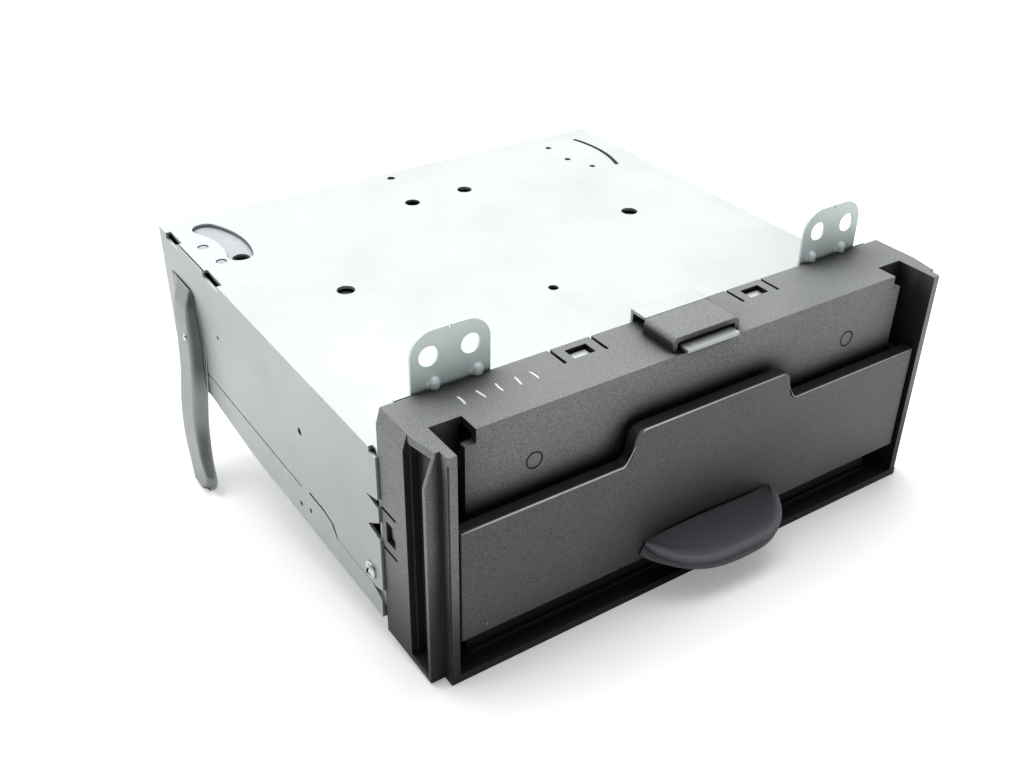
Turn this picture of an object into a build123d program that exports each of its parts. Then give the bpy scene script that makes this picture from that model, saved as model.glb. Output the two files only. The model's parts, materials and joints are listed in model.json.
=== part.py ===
"""In-dash multi-disc changer: a steel box behind a plastic front frame.

The frame: X to the right, Y away from the viewer, +Z up, in millimetres. While
it is modelled, the origin lies at the bottom front centre of the plastic front.
ORIGIN_SHIFT then moves everything, so that the written solids stand with the
origin at the bottom centre of the whole object's box.

The parts, from the outside in: the plastic front with its lifting shutter, the
steel box with two ears and two legs, the roller that draws a disc in, the stack
of six trays on three lift screws, and the playing deck that swings in from the
right wall below the wanted tray.
"""
from build123d import *
from math import atan2, cos, degrees, hypot, pi, radians, sin, sqrt
import os

# ---------------------------------------------------------------- sizes (mm)
# Steel box, the width of a one-slot radio bay
BOX_W = 182.2            # over the cover's side plates
BOX_REAR = 185.4         # rear face of the box
BOX_TOP = 61.0           # top face of the cover
BOX_FLOOR = 8.0          # underside of the bottom chassis
SHEET = 1.0              # sheet steel
SKIRT_Z = 17.5           # lower edge of the cover's side plates
SKIRT_HIGH_Z = 19.0      # the same edge between the two steps
SKIRT_FRONT_Z = 13.5     # and near the front
SKIRT_STEPS = (56.0, 76.0)
SKIRT_GAP = 0.65         # slit between that edge and the strip below it
STRIP_Z = 4.4            # lower edge of the chassis' outer strips
STRIP_REAR_Y = 150.0     # behind this the strips end at the floor
STRIP_HOLES = [(80.1, 9.8, 0.9), (73.2, 11.5, 0.9)]
CHASSIS_SIDE_H = 16.0    # height of the bottom chassis' side walls

# Plastic front
BEZEL_W = 180.4          # over the rear band
BEZEL_H = 74.0
BEZEL_D = 27.5           # front edge of the lips to the rear edge
BAND_Y = 14.0            # front face of the rear band
BAND_WALL = 2.4
BEVEL_W = 1.3            # bevel along the band's top corners
BEVEL_H = 4.5
LIP_OUT = 86.0           # half width over the two front lips
LIP_T = 2.6
FLANGE_Y = 3.7           # face of the outer flange beside each lip
FLANGE_T = 1.3
FLANGE_TOP = 73.0
FLANGE_CUT = 8.5         # height of the flange's diagonal top corner
TRACK_Y = 13.5           # rear wall of the shutter tracks
TRACK_WALL = 1.5
BOTTOM_T = 2.5
PANEL_Y = 6.8            # face of the upper and lower panels
PANEL_T = 2.2
PANEL_HALF = 77.2        # half width of the panels
NOTCH_X = 74.0           # inner end of the corner notches in the top wall
PANEL_END_Z = BEZEL_H - 4.2  # top of the panel's ends below the notches
TRACK_IN_Z = BEZEL_H - 12.0  # top of the tracks' inner walls
SILL_Y = 5.4             # small ridge along the trough below the shutter
SILL_T = 0.8
SILL_H = 0.7
PIN_MARK_X = 56.7        # round moulding marks on the upper panel
PIN_MARK_Z = 58.0
PIN_MARK_R = 2.65
PIN_MARK_DEEP = 0.3
PIN_MARK_LINE = 0.5

# Spring tongues of the plastic front and the steel hooks in their windows
CLIP_X = 31.5            # centre of each top tongue
CLIP_HALF = 6.85         # half distance between the two slits of a tongue
CLIP_SLIT = 1.0
CLIP_LEN = 7.9
CLIP_WIN_HALF = 3.5
CLIP_WIN_Y = 20.3
CLIP_WIN_LEN = 4.7
SIDE_CLIP_Z = 37.2
SIDE_CLIP_HALF = 6.6
SIDE_WIN_HALF = 3.35
HOOK_RISE = 1.3          # how far a steel hook stands into its window
HOOK_GAP = 0.5           # clearance round a hook in its window

# Bridge on the top wall and the steel hook that passes under it
BRIDGE_X0, BRIDGE_X1 = -11.5, 12.0
BRIDGE_Y0, BRIDGE_Y1 = 8.5, 21.0
BRIDGE_H = 4.3
BRIDGE_T = 1.6
BRIDGE_R = 2.0
TONGUE_FRONT_Y = 5.3
TONGUE_SIDE_GAP = 1.0    # tongue to each leg of the bridge
TONGUE_LIFT = 0.7        # tongue above the top wall
HOOK_LIFT = 2.0          # raised part behind the bridge above the top wall
HOOK_X0, HOOK_X1 = -9.0, 13.5
FOOT_LEN = 10.0          # feet of the hook and of the ears on the cover

# Ears
EAR_IN, EAR_OUT = 56.0, 79.5
EAR_TOP = BEZEL_H + 16.3
EAR_R = 7.0
EAR_T = 0.8
EAR_BOLT_X = 68.05       # centre of the two holes
EAR_BOLT_STEP = 12.3
EAR_BOLT_Z = BEZEL_H + 9.2
EAR_BOLT_R = 2.9
EAR_WING_X = 84.4        # the low outer wing of each ear
EAR_WING_Z = BEZEL_H - 0.4
EAR_BUMP_X = (60.2, 73.0)
EAR_BUMP_Z = BEZEL_H + 0.5
EAR_BUMP_R = 3.4         # of the sphere
EAR_BUMP_OUT = 0.95
EAR_NOTCH = 0.8

# Shutter
DOOR_Y = 1.0
DOOR_T = 2.2
DOOR_RIM = 3.8           # depth of the rim, from the face back
DOOR_RIM_T = 1.5
DOOR_SIDE_GAP = 1.1
DOOR_Z0 = 12.9
DOOR_SHOULDER = 49.2
DOOR_CREST = 59.0
DOOR_CREST_HALF = 25.0
DOOR_SHOULDER_HALF = 32.0
DOOR_EDGE = 0.35
DOOR_LIFT = 24.0         # travel
RIB_T = 2.0              # guide ribs in the tracks
RIB_GAP = 0.8            # rib to the rear wall of the track
RIB_X = 80.2             # centre of the rib
GRIP_OUT = 15.4          # how far the grip stands out from the shutter
GRIP_X0, GRIP_X1 = -24.0, 27.0
GRIP_ROOT_Z0, GRIP_ROOT_Z1 = 11.2, 20.0
GRIP_TIP_Z0, GRIP_TIP_Z1 = 10.8, 16.2
GRIP_R = 1.9

# Disc slot
SLOT_HALF = 62.5
SLOT_Z = 27.0            # middle of the slot
SLOT_H = 7.6
FELT_T = 1.5
FELT_D = 1.6
THROAT_T = 1.2
THROAT_Y1 = 30.5

# Rear legs (left one; the right one is its mirror image)
LEG_T = 1.2
# (z, rear edge y, front edge y, gap to the side plate, bulge outwards, thickness)
LEG_SECTIONS = [
    (47.5, 177.2, 157.0, 0.0, 0.1, 0.4),
    (40.0, 177.4, 155.0, 0.0, 2.0, LEG_T),
    (28.0, 177.6, 153.4, 0.0, 3.1, LEG_T),
    (12.0, 178.6, 155.0, 0.6, 3.4, LEG_T),
    (-3.0, 180.2, 154.5, 2.4, 3.2, LEG_T),
    (-14.0, 178.0, 149.5, 4.4, 2.6, LEG_T),
    (-22.0, 172.5, 143.0, 6.2, 1.8, LEG_T),
    (-27.8, 165.0, 150.0, 7.4, 1.0, LEG_T),
]
RIVET_R = 2.0
LEG_RIVET_R = 1.3
LEG_RIVET_Y, LEG_RIVET_Z = 160.3, 30.3
RIVET_LIFT = 0.45        # head clear of the curved leg

# Screws
SCREW_R = 1.5
SCREW_HEAD_R = 2.7
SCREW_HEAD_H = 1.4
SCREW_LEN = 4.5
CROSS = 0.6
SIDE_SCREW_Y, SIDE_SCREW_Z = 33.7, 18.0
HOLE_GAP = 0.1

# Cover details: round holes (x, y, radius)
TOP_HOLES = [(-57.9, 108.9, 2.9), (55.0, 108.8, 2.9), (-7.1, 156.5, 2.7),
             (15.1, 156.7, 2.7), (-2.8, 180.5, 1.5), (-2.0, 75.6, 1.7),
             (-84.3, 161.6, 1.8), (-83.1, 148.4, 1.8), (65.5, 160.9, 1.2),
             (69.5, 150.0, 1.1), (65.9, 174.6, 1.2)]
LEFT_WINDOW = ((-76.0, 149.7), (-74.6, 162.0), (-78.6, 174.8), 8.6)
LEVER_UNDER = 1.3        # how far the lever reaches under the window's edge
LEVER_HOLE = (-75.9, 149.6, 2.9)
PIN_HEADS = [(-84.3, 161.6), (-83.1, 148.4)]   # pin heads seen in two round holes
PIN_HEAD_R = 1.4
RIGHT_WINDOW = ((79.1, 147.0), (82.3, 162.0), (80.6, 176.5), 1.7)
FOLD_SLOTS = ((132.4, 145.0), (168.0, 178.8))
FOLD_SLOT_W = 1.9        # measured from the side plate's outer face
FOLD_LINE = (0.2, 0.75)  # fine groove along the fold between the two slots
FOLD_LINE_DEEP = 0.65
CORNER_SLOT = 2.4        # relief at the front end of each fold
CORNER_SLOT_R = 1.3
FLOOR_HOLES = [(0.0, 60.0, 4.0), (-50.0, 140.0, 4.0), (50.0, 140.0, 4.0), (0.0, 140.0, 7.0)]
SIDE_HOLES = [(75.8, 39.0, 1.3), (138.5, 39.4, 0.9)]
SIDE_ARROWS = [((27.5, 46.0), (34.3, 44.3), (27.5, 43.0)),
               ((27.5, 38.4), (33.9, 34.2), (27.5, 32.4))]

# Air slits in the rear panel
VENTS = 7
VENT_X, VENT_STEP, VENT_W = 8.0, 7.0, 2.5
VENT_Z0, VENT_Z1 = 24.0, 44.0

# Rear connector
CONN_X, CONN_Z = -69.5, 23.0
CONN_W, CONN_H = 26.0, 15.0
CONN_OUT = 3.0
CONN_IN = 12.0
CONN_WALL = 1.5
CONN_DEEP = 9.0
PIN_SIZE = 0.8
PIN_LEN = 2.5

# Mechanism: heights
BASE_T = 1.0
DISC_Y = 103.0           # centre of a stored disc
TRAY_R = 62.0
TRAY_T = 1.5
TRAY_PITCH = 2.9
TRAY_TOP_Z = 55.4        # underside of the top tray
TRAYS = 6
TRAY_BORE = 20.0
TRAY_WEB = 44.0          # width of each tray's open mouth
EAR_ARM = 11.0           # width of a tray's arms
STACK_TRAVEL = 28.4
FRAME_Z = 57.9           # underside of the upper frame
SCREW_SHAFT_R = 3.6
JOURNAL_R = 2.5
RUN = 0.05               # radial running clearance
NUT_R = 5.2
NUT_RING = 1.2           # width of a tray's ring round a nut
LIFTS = {"left": (-76.0, 90.0), "right": (70.0, 48.0), "rear": (8.0, 172.5)}
POSTS = [(-86.4, 42.0), (85.0, 42.0), (-86.4, 179.0), (54.0, 179.0)]
POST_R = 1.8

# Gears
MODULE = 0.6
GEAR_W = 2.0
ROLLER_TEETH, IDLER_TEETH, PINION_TEETH = 20, 30, 10
LIFT_TEETH = 30
IDLER_ANGLE = 62.0       # direction from the roller to the idler, in the YZ plane
PINION_ANGLE = 65.0      # direction from the idler to the motor pinion

# Loading roller
ROLLER_Y, ROLLER_Z = 36.0, 23.1
ROLLER_R = 3.5
ROLLER_IN = 0.5          # how much shorter it is than the slot, at each end
SHAFT_R = 1.5
GEAR_PLATE_X = -78.6     # outer face of the plate that carries the gears
GEAR_PLATE_T = 1.2
GEAR_GAP = 1.4
BRACKET_GAP = 4.0        # end of the roller to its bracket
BRACKET_HALF = 4.0
MOTOR_R, MOTOR_LEN = 7.5, 19.0
LIFT_MOTOR_R, LIFT_MOTOR_LEN = 4.9, 18.0

# Playing deck, parked along the right wall
PIVOT_X, PIVOT_Y = 76.0, 171.0
PIVOT_R = 2.4
DECK_HALF = 12.5
DECK_Z = 17.0
DECK_T = 1.2
DECK_TIP_R = 13.0
BOSS_R = 5.0
SPINDLE_MOTOR_R, SPINDLE_MOTOR_H = 9.0, 3.3
TABLE_R = 12.5
TABLE_Z = 25.9           # face that a disc lies on
HUB_R, HUB_H = 7.3, 2.0
ROD_R, ROD_V = 1.2, 9.0
ROD_U0, ROD_U1 = 26.0, 88.5
ROD_Z = 20.6
FEED_R, FEED_Z = 1.0, 14.8
SLED_U0, SLED_U1 = 68.0, 86.0
SLED_TRAVEL = 33.0
SLED_HALF = 11.2
SLED_Z0, SLED_Z1 = 18.6, 23.2
LENS_R, LENS_H = 2.6, 1.6
SLED_MOTOR_R, SLED_MOTOR_LEN = 3.3, 12.0
SLED_NUT_HALF, SLED_NUT_IN = 3.4, 4.0    # the sled's nut on the feed screw
SLED_PAD_HALF, SLED_PAD_LEN = 5.5, 6.0   # pad that holds the sled motor
ROD_END_IN, ROD_END_OUT = 2.5, 2.0       # blocks at the ends of the rods
HINGE_U, HINGE_Z = 14.0, 31.0
HINGE_R = 1.0
ARM_Z, ARM_T, ARM_HALF = 30.6, 1.2, 6.0
HINGE_EAR_T = 1.5
HINGE_EAR_GAP = 0.3
CLAMPER_R, CLAMPER_Z0, CLAMPER_Z1 = 11.0, 28.3, 30.2
STEM_R = 2.0
CAP_R, CAP_H = 3.4, 0.8

# Main board
BOARD_T = 1.6
BOARD_Z = 13.0
BOARD_X0, BOARD_X1 = -88.6, -63.0
BOARD_Y0, BOARD_Y1 = 99.0, 170.0

# ------------------------------------------------------------ derived places
HALF = BOX_W / 2
INNER = HALF - SHEET                  # inner face of the cover's side plates
CHASSIS_IN = INNER - SHEET            # inner face of the bottom chassis' walls
FLOOR = BOX_FLOOR + SHEET
BASE_TOP = FLOOR + BASE_T
BACK_IN = BOX_REAR - SHEET
COVER_Y = BEZEL_D + SHEET             # front edge of the cover's top plate
TOP_IN = BOX_TOP - SHEET
LIP_IN = LIP_OUT - LIP_T
BEZEL_HALF = BEZEL_W / 2
TOP_UNDER = BEZEL_H - BAND_WALL
BAND_IN = BEZEL_HALF - BAND_WALL
SWING_R = hypot(PIVOT_X, PIVOT_Y - DISC_Y)
SWING_DEG = degrees(atan2(PIVOT_X, PIVOT_Y - DISC_Y))
SPINDLE_Y = PIVOT_Y - SWING_R
STACK_BOTTOM = TRAY_TOP_Z - (TRAYS - 1) * TRAY_PITCH
FOOT_Z = LEG_SECTIONS[-1][0]
GRIP_Y = DOOR_Y - GRIP_OUT
CONN_REAR = BOX_REAR + CONN_OUT
ROLLER_HALF = SLOT_HALF - ROLLER_IN
ROLLER_BRACKET_X = ROLLER_HALF + BRACKET_GAP

# Moves the design frame's origin to the bottom centre of the object's box
ORIGIN_SHIFT = Vector(0, -(GRIP_Y + CONN_REAR) / 2, -FOOT_Z)


# ----------------------------------------------------------------- helpers
def block(x0, x1, y0, y1, z0, z1):
    """A box between two corners."""
    return Pos((x0 + x1) / 2, (y0 + y1) / 2, (z0 + z1) / 2) * Box(
        abs(x1 - x0), abs(y1 - y0), abs(z1 - z0))


def rod(start, end, radius):
    """A round bar from one point to another."""
    start, end = Vector(*start), Vector(*end)
    along = end - start
    return Plane(origin=start, z_dir=along) * Cylinder(
        radius, along.length, align=(Align.CENTER, Align.CENTER, Align.MIN))


def prism(points, direction, length):
    """A flat outline of 3-D points, pushed along a direction."""
    outline = make_face(Polyline(*points, close=True))
    return extrude(outline, amount=length, dir=direction)


def across(points_yz, x0, x1):
    """An outline in Y and Z, from one X to another."""
    return prism([(x0, y, z) for y, z in points_yz], (1, 0, 0), x1 - x0)


def along_y(points_xz, y0, y1):
    """An outline in X and Z, from one Y to another."""
    return prism([(x, y0, z) for x, z in points_xz], (0, 1, 0), y1 - y0)


def upright(points_xy, z0, z1):
    """An outline in X and Y, from one Z to another."""
    return prism([(x, y, z0) for x, y in points_xy], (0, 0, 1), z1 - z0)


def both_sides(shape):
    """A shape and its mirror image in the middle plane X = 0."""
    return shape + mirror(shape, about=Plane.YZ)


def gear(teeth, width, bore, turn=0.0):
    """A small spur gear about +Z. A tooth points along the angle `turn` (deg)."""
    pitch, step = MODULE * teeth / 2, 360 / teeth
    root, tip = pitch - 1.25 * MODULE, pitch + 0.95 * MODULE
    points = []
    for n in range(teeth):
        middle = turn + n * step
        for radius, part in ((root, -0.34), (pitch, -0.22), (tip, -0.09),
                             (tip, 0.09), (pitch, 0.22), (root, 0.34)):
            angle = radians(middle + part * step)
            points.append((radius * cos(angle), radius * sin(angle)))
    solid = extrude(make_face(Polyline(*points, close=True)), amount=width)
    return solid - Cylinder(bore, 3 * width) if bore else solid


def gap_angle(teeth, turn, heading, next_teeth):
    """The `turn` of a gear that meshes with a first gear in this direction."""
    step = 360 / teeth
    offset = (turn - heading) % step          # nearest tooth past the heading
    next_step = 360 / next_teeth
    return heading + 180 - offset * teeth / next_teeth + next_step / 2


def facing_x(x, y, z):
    """A plane across X: its own x runs along Y and its own y along Z."""
    return Plane(origin=(x, y, z), x_dir=(0, 1, 0), z_dir=(1, 0, 0))


def screw(at, outward):
    """A pan-head screw with a cross recess; its head sits on `at`."""
    flat = Plane(origin=at, z_dir=outward)
    head = Cylinder(SCREW_HEAD_R, SCREW_HEAD_H,
                    align=(Align.CENTER, Align.CENTER, Align.MIN))
    head = fillet(head.edges().group_by(Axis.Z)[-1], SCREW_HEAD_H * 0.6)
    for width, depth in ((SCREW_HEAD_R * 1.1, CROSS), (CROSS, SCREW_HEAD_R * 1.1)):
        head -= Pos(0, 0, SCREW_HEAD_H) * Box(width, depth, SCREW_HEAD_H)
    shank = Pos(0, 0, -SCREW_LEN / 2) * Cylinder(SCREW_R, SCREW_LEN)
    return flat * (head + shank)


# ----------------------------------------------------------- plastic front
def front_bezel():
    half_top = BEZEL_HALF - BEVEL_W
    # rear band: a rectangular tube with bevelled top corners
    shape = block(-BEZEL_HALF, BEZEL_HALF, BAND_Y, BEZEL_D, 0, BEZEL_H)
    shape -= block(-BAND_IN, BAND_IN, BAND_Y - 1, BEZEL_D + 1, BOTTOM_T, TOP_UNDER)
    bevel = along_y([(BEZEL_HALF, BEZEL_H - BEVEL_H), (BEZEL_HALF + 2, BEZEL_H - BEVEL_H),
                     (BEZEL_HALF + 2, BEZEL_H + 1), (half_top, BEZEL_H + 1),
                     (half_top, BEZEL_H)], BAND_Y - 1, BEZEL_D + 1)
    shape -= both_sides(bevel)
    # top wall in front of the band, with a notch over each shutter track
    right = [(0, PANEL_Y), (NOTCH_X, PANEL_Y), (NOTCH_X, TRACK_Y), (LIP_IN, TRACK_Y),
             (LIP_IN, 0), (LIP_OUT - 0.4, 0), (LIP_OUT, 0.5), (LIP_OUT, FLANGE_Y),
             (LIP_OUT + 1.3, FLANGE_Y), (half_top, BAND_Y - 1.5),
             (half_top, BAND_Y + 1), (0, BAND_Y + 1)]
    shape += both_sides(upright(right, TOP_UNDER, BEZEL_H))
    # side lips, the outer flange beside each and the wall behind the groove
    side = block(LIP_IN, LIP_OUT, 0, TRACK_Y + TRACK_WALL, 0, TOP_UNDER)
    side = side - block(LIP_OUT - 0.4, LIP_OUT + 1, -1, 0.5, -1, BEZEL_H)
    side += along_y([(LIP_IN, 0), (BEZEL_HALF, 0), (BEZEL_HALF, FLANGE_TOP - FLANGE_CUT),
                     (LIP_OUT + 1.2, FLANGE_TOP), (LIP_IN, FLANGE_TOP)],
                    FLANGE_Y, FLANGE_Y + FLANGE_T)
    side += block(PANEL_HALF - PANEL_T, BAND_IN + 0.5, TRACK_Y,
                  TRACK_Y + TRACK_WALL, 0, TOP_UNDER)
    side += block(LIP_OUT, BEZEL_HALF, FLANGE_Y, BAND_Y + 1, 0, BAND_WALL - 0.4)
    # inner wall of the track
    side += block(PANEL_HALF - PANEL_T, PANEL_HALF, PANEL_Y, TRACK_Y + TRACK_WALL,
                  0, TRACK_IN_Z)
    shape += both_sides(side)
    # bottom wall with the sill ridge, then the panel with the disc slot
    shape += block(-LIP_OUT, LIP_OUT, 0, BAND_Y + 1, 0, BOTTOM_T)
    shape += block(-PANEL_HALF, PANEL_HALF, SILL_Y, SILL_Y + SILL_T, BOTTOM_T,
                   BOTTOM_T + SILL_H)
    shape += block(-PANEL_HALF, PANEL_HALF, PANEL_Y, PANEL_Y + PANEL_T, 0, PANEL_END_Z)
    shape += block(-NOTCH_X, NOTCH_X, PANEL_Y, PANEL_Y + PANEL_T, 0, BEZEL_H)
    shape -= block(-SLOT_HALF, SLOT_HALF, PANEL_Y - 1, PANEL_Y + PANEL_T + 1,
                   SLOT_Z - SLOT_H / 2, SLOT_Z + SLOT_H / 2)
    # round moulding marks
    mark = rod((PIN_MARK_X, PANEL_Y - 1, PIN_MARK_Z),
               (PIN_MARK_X, PANEL_Y + PIN_MARK_DEEP, PIN_MARK_Z), PIN_MARK_R)
    mark -= rod((PIN_MARK_X, PANEL_Y - 2, PIN_MARK_Z),
                (PIN_MARK_X, PANEL_Y + 1, PIN_MARK_Z), PIN_MARK_R - PIN_MARK_LINE)
    shape -= both_sides(mark)
    # spring tongues in the top wall and in both side walls
    cut = block(CLIP_X - CLIP_WIN_HALF, CLIP_X + CLIP_WIN_HALF, CLIP_WIN_Y,
                CLIP_WIN_Y + CLIP_WIN_LEN, TOP_UNDER - 1, BEZEL_H + 1)
    for edge in (-1, 1):
        x = CLIP_X + edge * CLIP_HALF
        cut += block(x - CLIP_SLIT / 2, x + CLIP_SLIT / 2, BEZEL_D - CLIP_LEN,
                     BEZEL_D + 1, TOP_UNDER - 1, BEZEL_H + 1)
        z = SIDE_CLIP_Z + edge * SIDE_CLIP_HALF
        cut += block(BAND_IN - 1, BEZEL_HALF + 1, BEZEL_D - CLIP_LEN, BEZEL_D + 1,
                     z - CLIP_SLIT / 2, z + CLIP_SLIT / 2)
    cut += block(BAND_IN - 1, BEZEL_HALF + 1, CLIP_WIN_Y, CLIP_WIN_Y + CLIP_WIN_LEN,
                 SIDE_CLIP_Z - SIDE_WIN_HALF, SIDE_CLIP_Z + SIDE_WIN_HALF)
    shape -= both_sides(cut)
    # bridge
    bridge = block(BRIDGE_X0, BRIDGE_X1, BRIDGE_Y0, BRIDGE_Y1, BEZEL_H - 1,
                   BEZEL_H + BRIDGE_H)
    upper = bridge.edges().filter_by(Axis.Y).group_by(Axis.Z)[-1]
    bridge = fillet(upper, BRIDGE_R)
    bridge -= block(BRIDGE_X0 + BRIDGE_T, BRIDGE_X1 - BRIDGE_T, BRIDGE_Y0 - 1,
                    BRIDGE_Y1 + 1, BEZEL_H - 2, BEZEL_H + BRIDGE_H - BRIDGE_T)
    shape += bridge
    return shape


def slot_felts():
    """Felt strips on the upper and lower edge of the disc slot."""
    y0 = PANEL_Y + PANEL_T - FELT_D
    top = SLOT_Z + SLOT_H / 2
    low = SLOT_Z - SLOT_H / 2
    return [block(-SLOT_HALF, SLOT_HALF, y0, y0 + FELT_D, top - FELT_T, top),
            block(-SLOT_HALF, SLOT_HALF, y0, y0 + FELT_D, low, low + FELT_T)]


def throat(side):
    """Plate above (1) or below (-1) the disc's way, from the panel inwards."""
    face = SLOT_Z + side * SLOT_H / 2
    back = PANEL_Y + PANEL_T
    lip = block(-SLOT_HALF, SLOT_HALF, back, back + THROAT_T,
                face, face + side * 4 * THROAT_T)
    return lip + block(-SLOT_HALF, SLOT_HALF, back, THROAT_Y1, face,
                       face + side * THROAT_T)


# ------------------------------------------------------------------ shutter
def shutter_outline(y):
    """The shutter's face as a closed line at one Y."""
    side = LIP_IN - DOOR_SIDE_GAP
    rise = DOOR_CREST - DOOR_SHOULDER
    run = DOOR_SHOULDER_HALF - DOOR_CREST_HALF
    mid_x, mid_z = DOOR_CREST_HALF + run / 2, DOOR_SHOULDER + rise / 2
    top = Polyline((-side, y, DOOR_SHOULDER), (-side, y, DOOR_Z0), (side, y, DOOR_Z0),
                   (side, y, DOOR_SHOULDER), (DOOR_SHOULDER_HALF, y, DOOR_SHOULDER))
    right_low = Spline((DOOR_SHOULDER_HALF, y, DOOR_SHOULDER), (mid_x, y, mid_z),
                       (DOOR_CREST_HALF, y, DOOR_CREST),
                       tangents=((-1, 0, 0), (-1, 0, 0)))
    crest = Line((DOOR_CREST_HALF, y, DOOR_CREST), (-DOOR_CREST_HALF, y, DOOR_CREST))
    left_low = Spline((-DOOR_CREST_HALF, y, DOOR_CREST), (-mid_x, y, mid_z),
                      (-DOOR_SHOULDER_HALF, y, DOOR_SHOULDER),
                      tangents=((-1, 0, 0), (-1, 0, 0)))
    last = Line((-DOOR_SHOULDER_HALF, y, DOOR_SHOULDER), (-side, y, DOOR_SHOULDER))
    return make_face(top + right_low + crest + left_low + last)


def shutter_door():
    shell = extrude(shutter_outline(DOOR_Y), amount=DOOR_RIM, dir=(0, 1, 0))
    side = LIP_IN - DOOR_SIDE_GAP
    # hollow behind the face, so that a rim stands along the edges
    back = DOOR_Y + DOOR_T
    hollow = block(-side + DOOR_RIM_T, side - DOOR_RIM_T, back, DOOR_Y + DOOR_RIM + 1,
                   DOOR_Z0 + DOOR_RIM_T, DOOR_SHOULDER - DOOR_RIM_T)
    hollow += block(-DOOR_CREST_HALF + DOOR_RIM_T, DOOR_CREST_HALF - DOOR_RIM_T, back,
                    DOOR_Y + DOOR_RIM + 1, DOOR_SHOULDER - 2 * DOOR_RIM_T,
                    DOOR_CREST - DOOR_RIM_T)
    shell -= hollow
    face = shell.faces().sort_by(Axis.Y)[0]
    shell = chamfer(face.edges(), DOOR_EDGE)
    # guide ribs that run in the tracks of the plastic front
    rib = block(RIB_X - RIB_T / 2, RIB_X + RIB_T / 2, back, TRACK_Y - RIB_GAP,
                DOOR_Z0 + DOOR_RIM_T, DOOR_SHOULDER - DOOR_RIM_T)
    return shell + both_sides(rib)


def shutter_grip():
    """A rounded tongue under the middle of the shutter, thicker at its root."""
    width = GRIP_X1 - GRIP_X0
    mid = (GRIP_X0 + GRIP_X1) / 2
    reach = GRIP_OUT
    # outline seen from above, from the left end of the root round the tip
    outline = [(0.00, 0.0), (0.09, 0.36), (0.20, 0.80), (0.33, 0.965), (0.50, 1.0),
               (0.70, 0.955), (0.84, 0.72), (0.93, 0.36), (1.00, 0.0)]
    points = [(GRIP_X0 + u * width, DOOR_Y - v * reach, 0) for u, v in outline]
    rim = Spline(*points)
    base = make_face(rim + Line(points[-1], points[0]))
    body = Pos(0, 0, GRIP_TIP_Z0 - 5) * extrude(base, amount=30)
    # side view: the top slopes down towards the tip
    side = across([(DOOR_Y, GRIP_ROOT_Z0), (DOOR_Y, GRIP_ROOT_Z1),
                   (DOOR_Y - 0.45 * reach, GRIP_ROOT_Z1 - 0.8),
                   (DOOR_Y - reach, GRIP_TIP_Z1), (DOOR_Y - reach, GRIP_TIP_Z0),
                   (DOOR_Y - 0.4 * reach, GRIP_TIP_Z0)],
                  mid - width, mid + width)
    body = body & side
    front = [e for e in body.edges()
             if e.bounding_box().min.Y < DOOR_Y - 0.3 * reach
             and e.bounding_box().size.X > 0.6 * width]
    return fillet(front, GRIP_R)


# ---------------------------------------------------------------- steel box
def front_frame():
    """Steel frame across the box's front, with hooks for the plastic front."""
    half = INNER
    top = TOP_UNDER - 0.2
    shape = block(-half, half, BEZEL_D, COVER_Y, FLOOR, BOX_TOP)
    shape += block(-BAND_IN + 0.6, BAND_IN - 0.6, BEZEL_D, COVER_Y, BOX_TOP - 1, top)
    shape -= block(-SLOT_HALF - 6, SLOT_HALF + 6, BEZEL_D - 1, COVER_Y + 1,
                   SLOT_Z - 12, SLOT_Z + 28)
    # top hooks: a tab under the wall with a lug in the window
    w = CLIP_WIN_HALF - HOOK_GAP
    tab = block(CLIP_X - w - 2, CLIP_X + w + 2, CLIP_WIN_Y - 1, COVER_Y, top - SHEET, top)
    tab += block(CLIP_X - w, CLIP_X + w, CLIP_WIN_Y + HOOK_GAP,
                 CLIP_WIN_Y + CLIP_WIN_LEN - HOOK_GAP, top - SHEET, top + HOOK_RISE)
    # side hooks, the same on their sides
    out = BAND_IN - 0.2
    h = SIDE_WIN_HALF - HOOK_GAP
    tab += block(out - SHEET, out, CLIP_WIN_Y - 1, COVER_Y, SIDE_CLIP_Z - h - 2,
                 SIDE_CLIP_Z + h + 2)
    tab += block(out - SHEET, out + HOOK_RISE, CLIP_WIN_Y + HOOK_GAP,
                 CLIP_WIN_Y + CLIP_WIN_LEN - HOOK_GAP, SIDE_CLIP_Z - h, SIDE_CLIP_Z + h)
    return shape + both_sides(tab)


def front_hook():
    """Steel strap from the cover up over the plastic front, under its bridge."""
    low = BEZEL_H + TONGUE_LIFT
    high = BEZEL_H + HOOK_LIFT
    step = BRIDGE_Y1 + 1.0
    side = [(COVER_Y + FOOT_LEN, BOX_TOP), (COVER_Y + FOOT_LEN, BOX_TOP + SHEET),
            (COVER_Y + SHEET, BOX_TOP + SHEET), (COVER_Y + SHEET, high + SHEET),
            (step + 1.2, high + SHEET), (step, low + SHEET),
            (TONGUE_FRONT_Y, low + SHEET), (TONGUE_FRONT_Y, low),
            (step + 0.4, low), (step + 1.6, high), (COVER_Y, high), (COVER_Y, BOX_TOP)]
    shape = across(side, HOOK_X0, HOOK_X1)
    left = BRIDGE_X0 + BRIDGE_T + TONGUE_SIDE_GAP
    right = BRIDGE_X1 - BRIDGE_T - TONGUE_SIDE_GAP
    shape -= block(HOOK_X0 - 1, left, TONGUE_FRONT_Y - 1, step - 0.2, low - 1, high + 3)
    shape -= block(right, HOOK_X1 + 1, TONGUE_FRONT_Y - 1, step - 0.2, low - 1, high + 3)
    return shape


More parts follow.
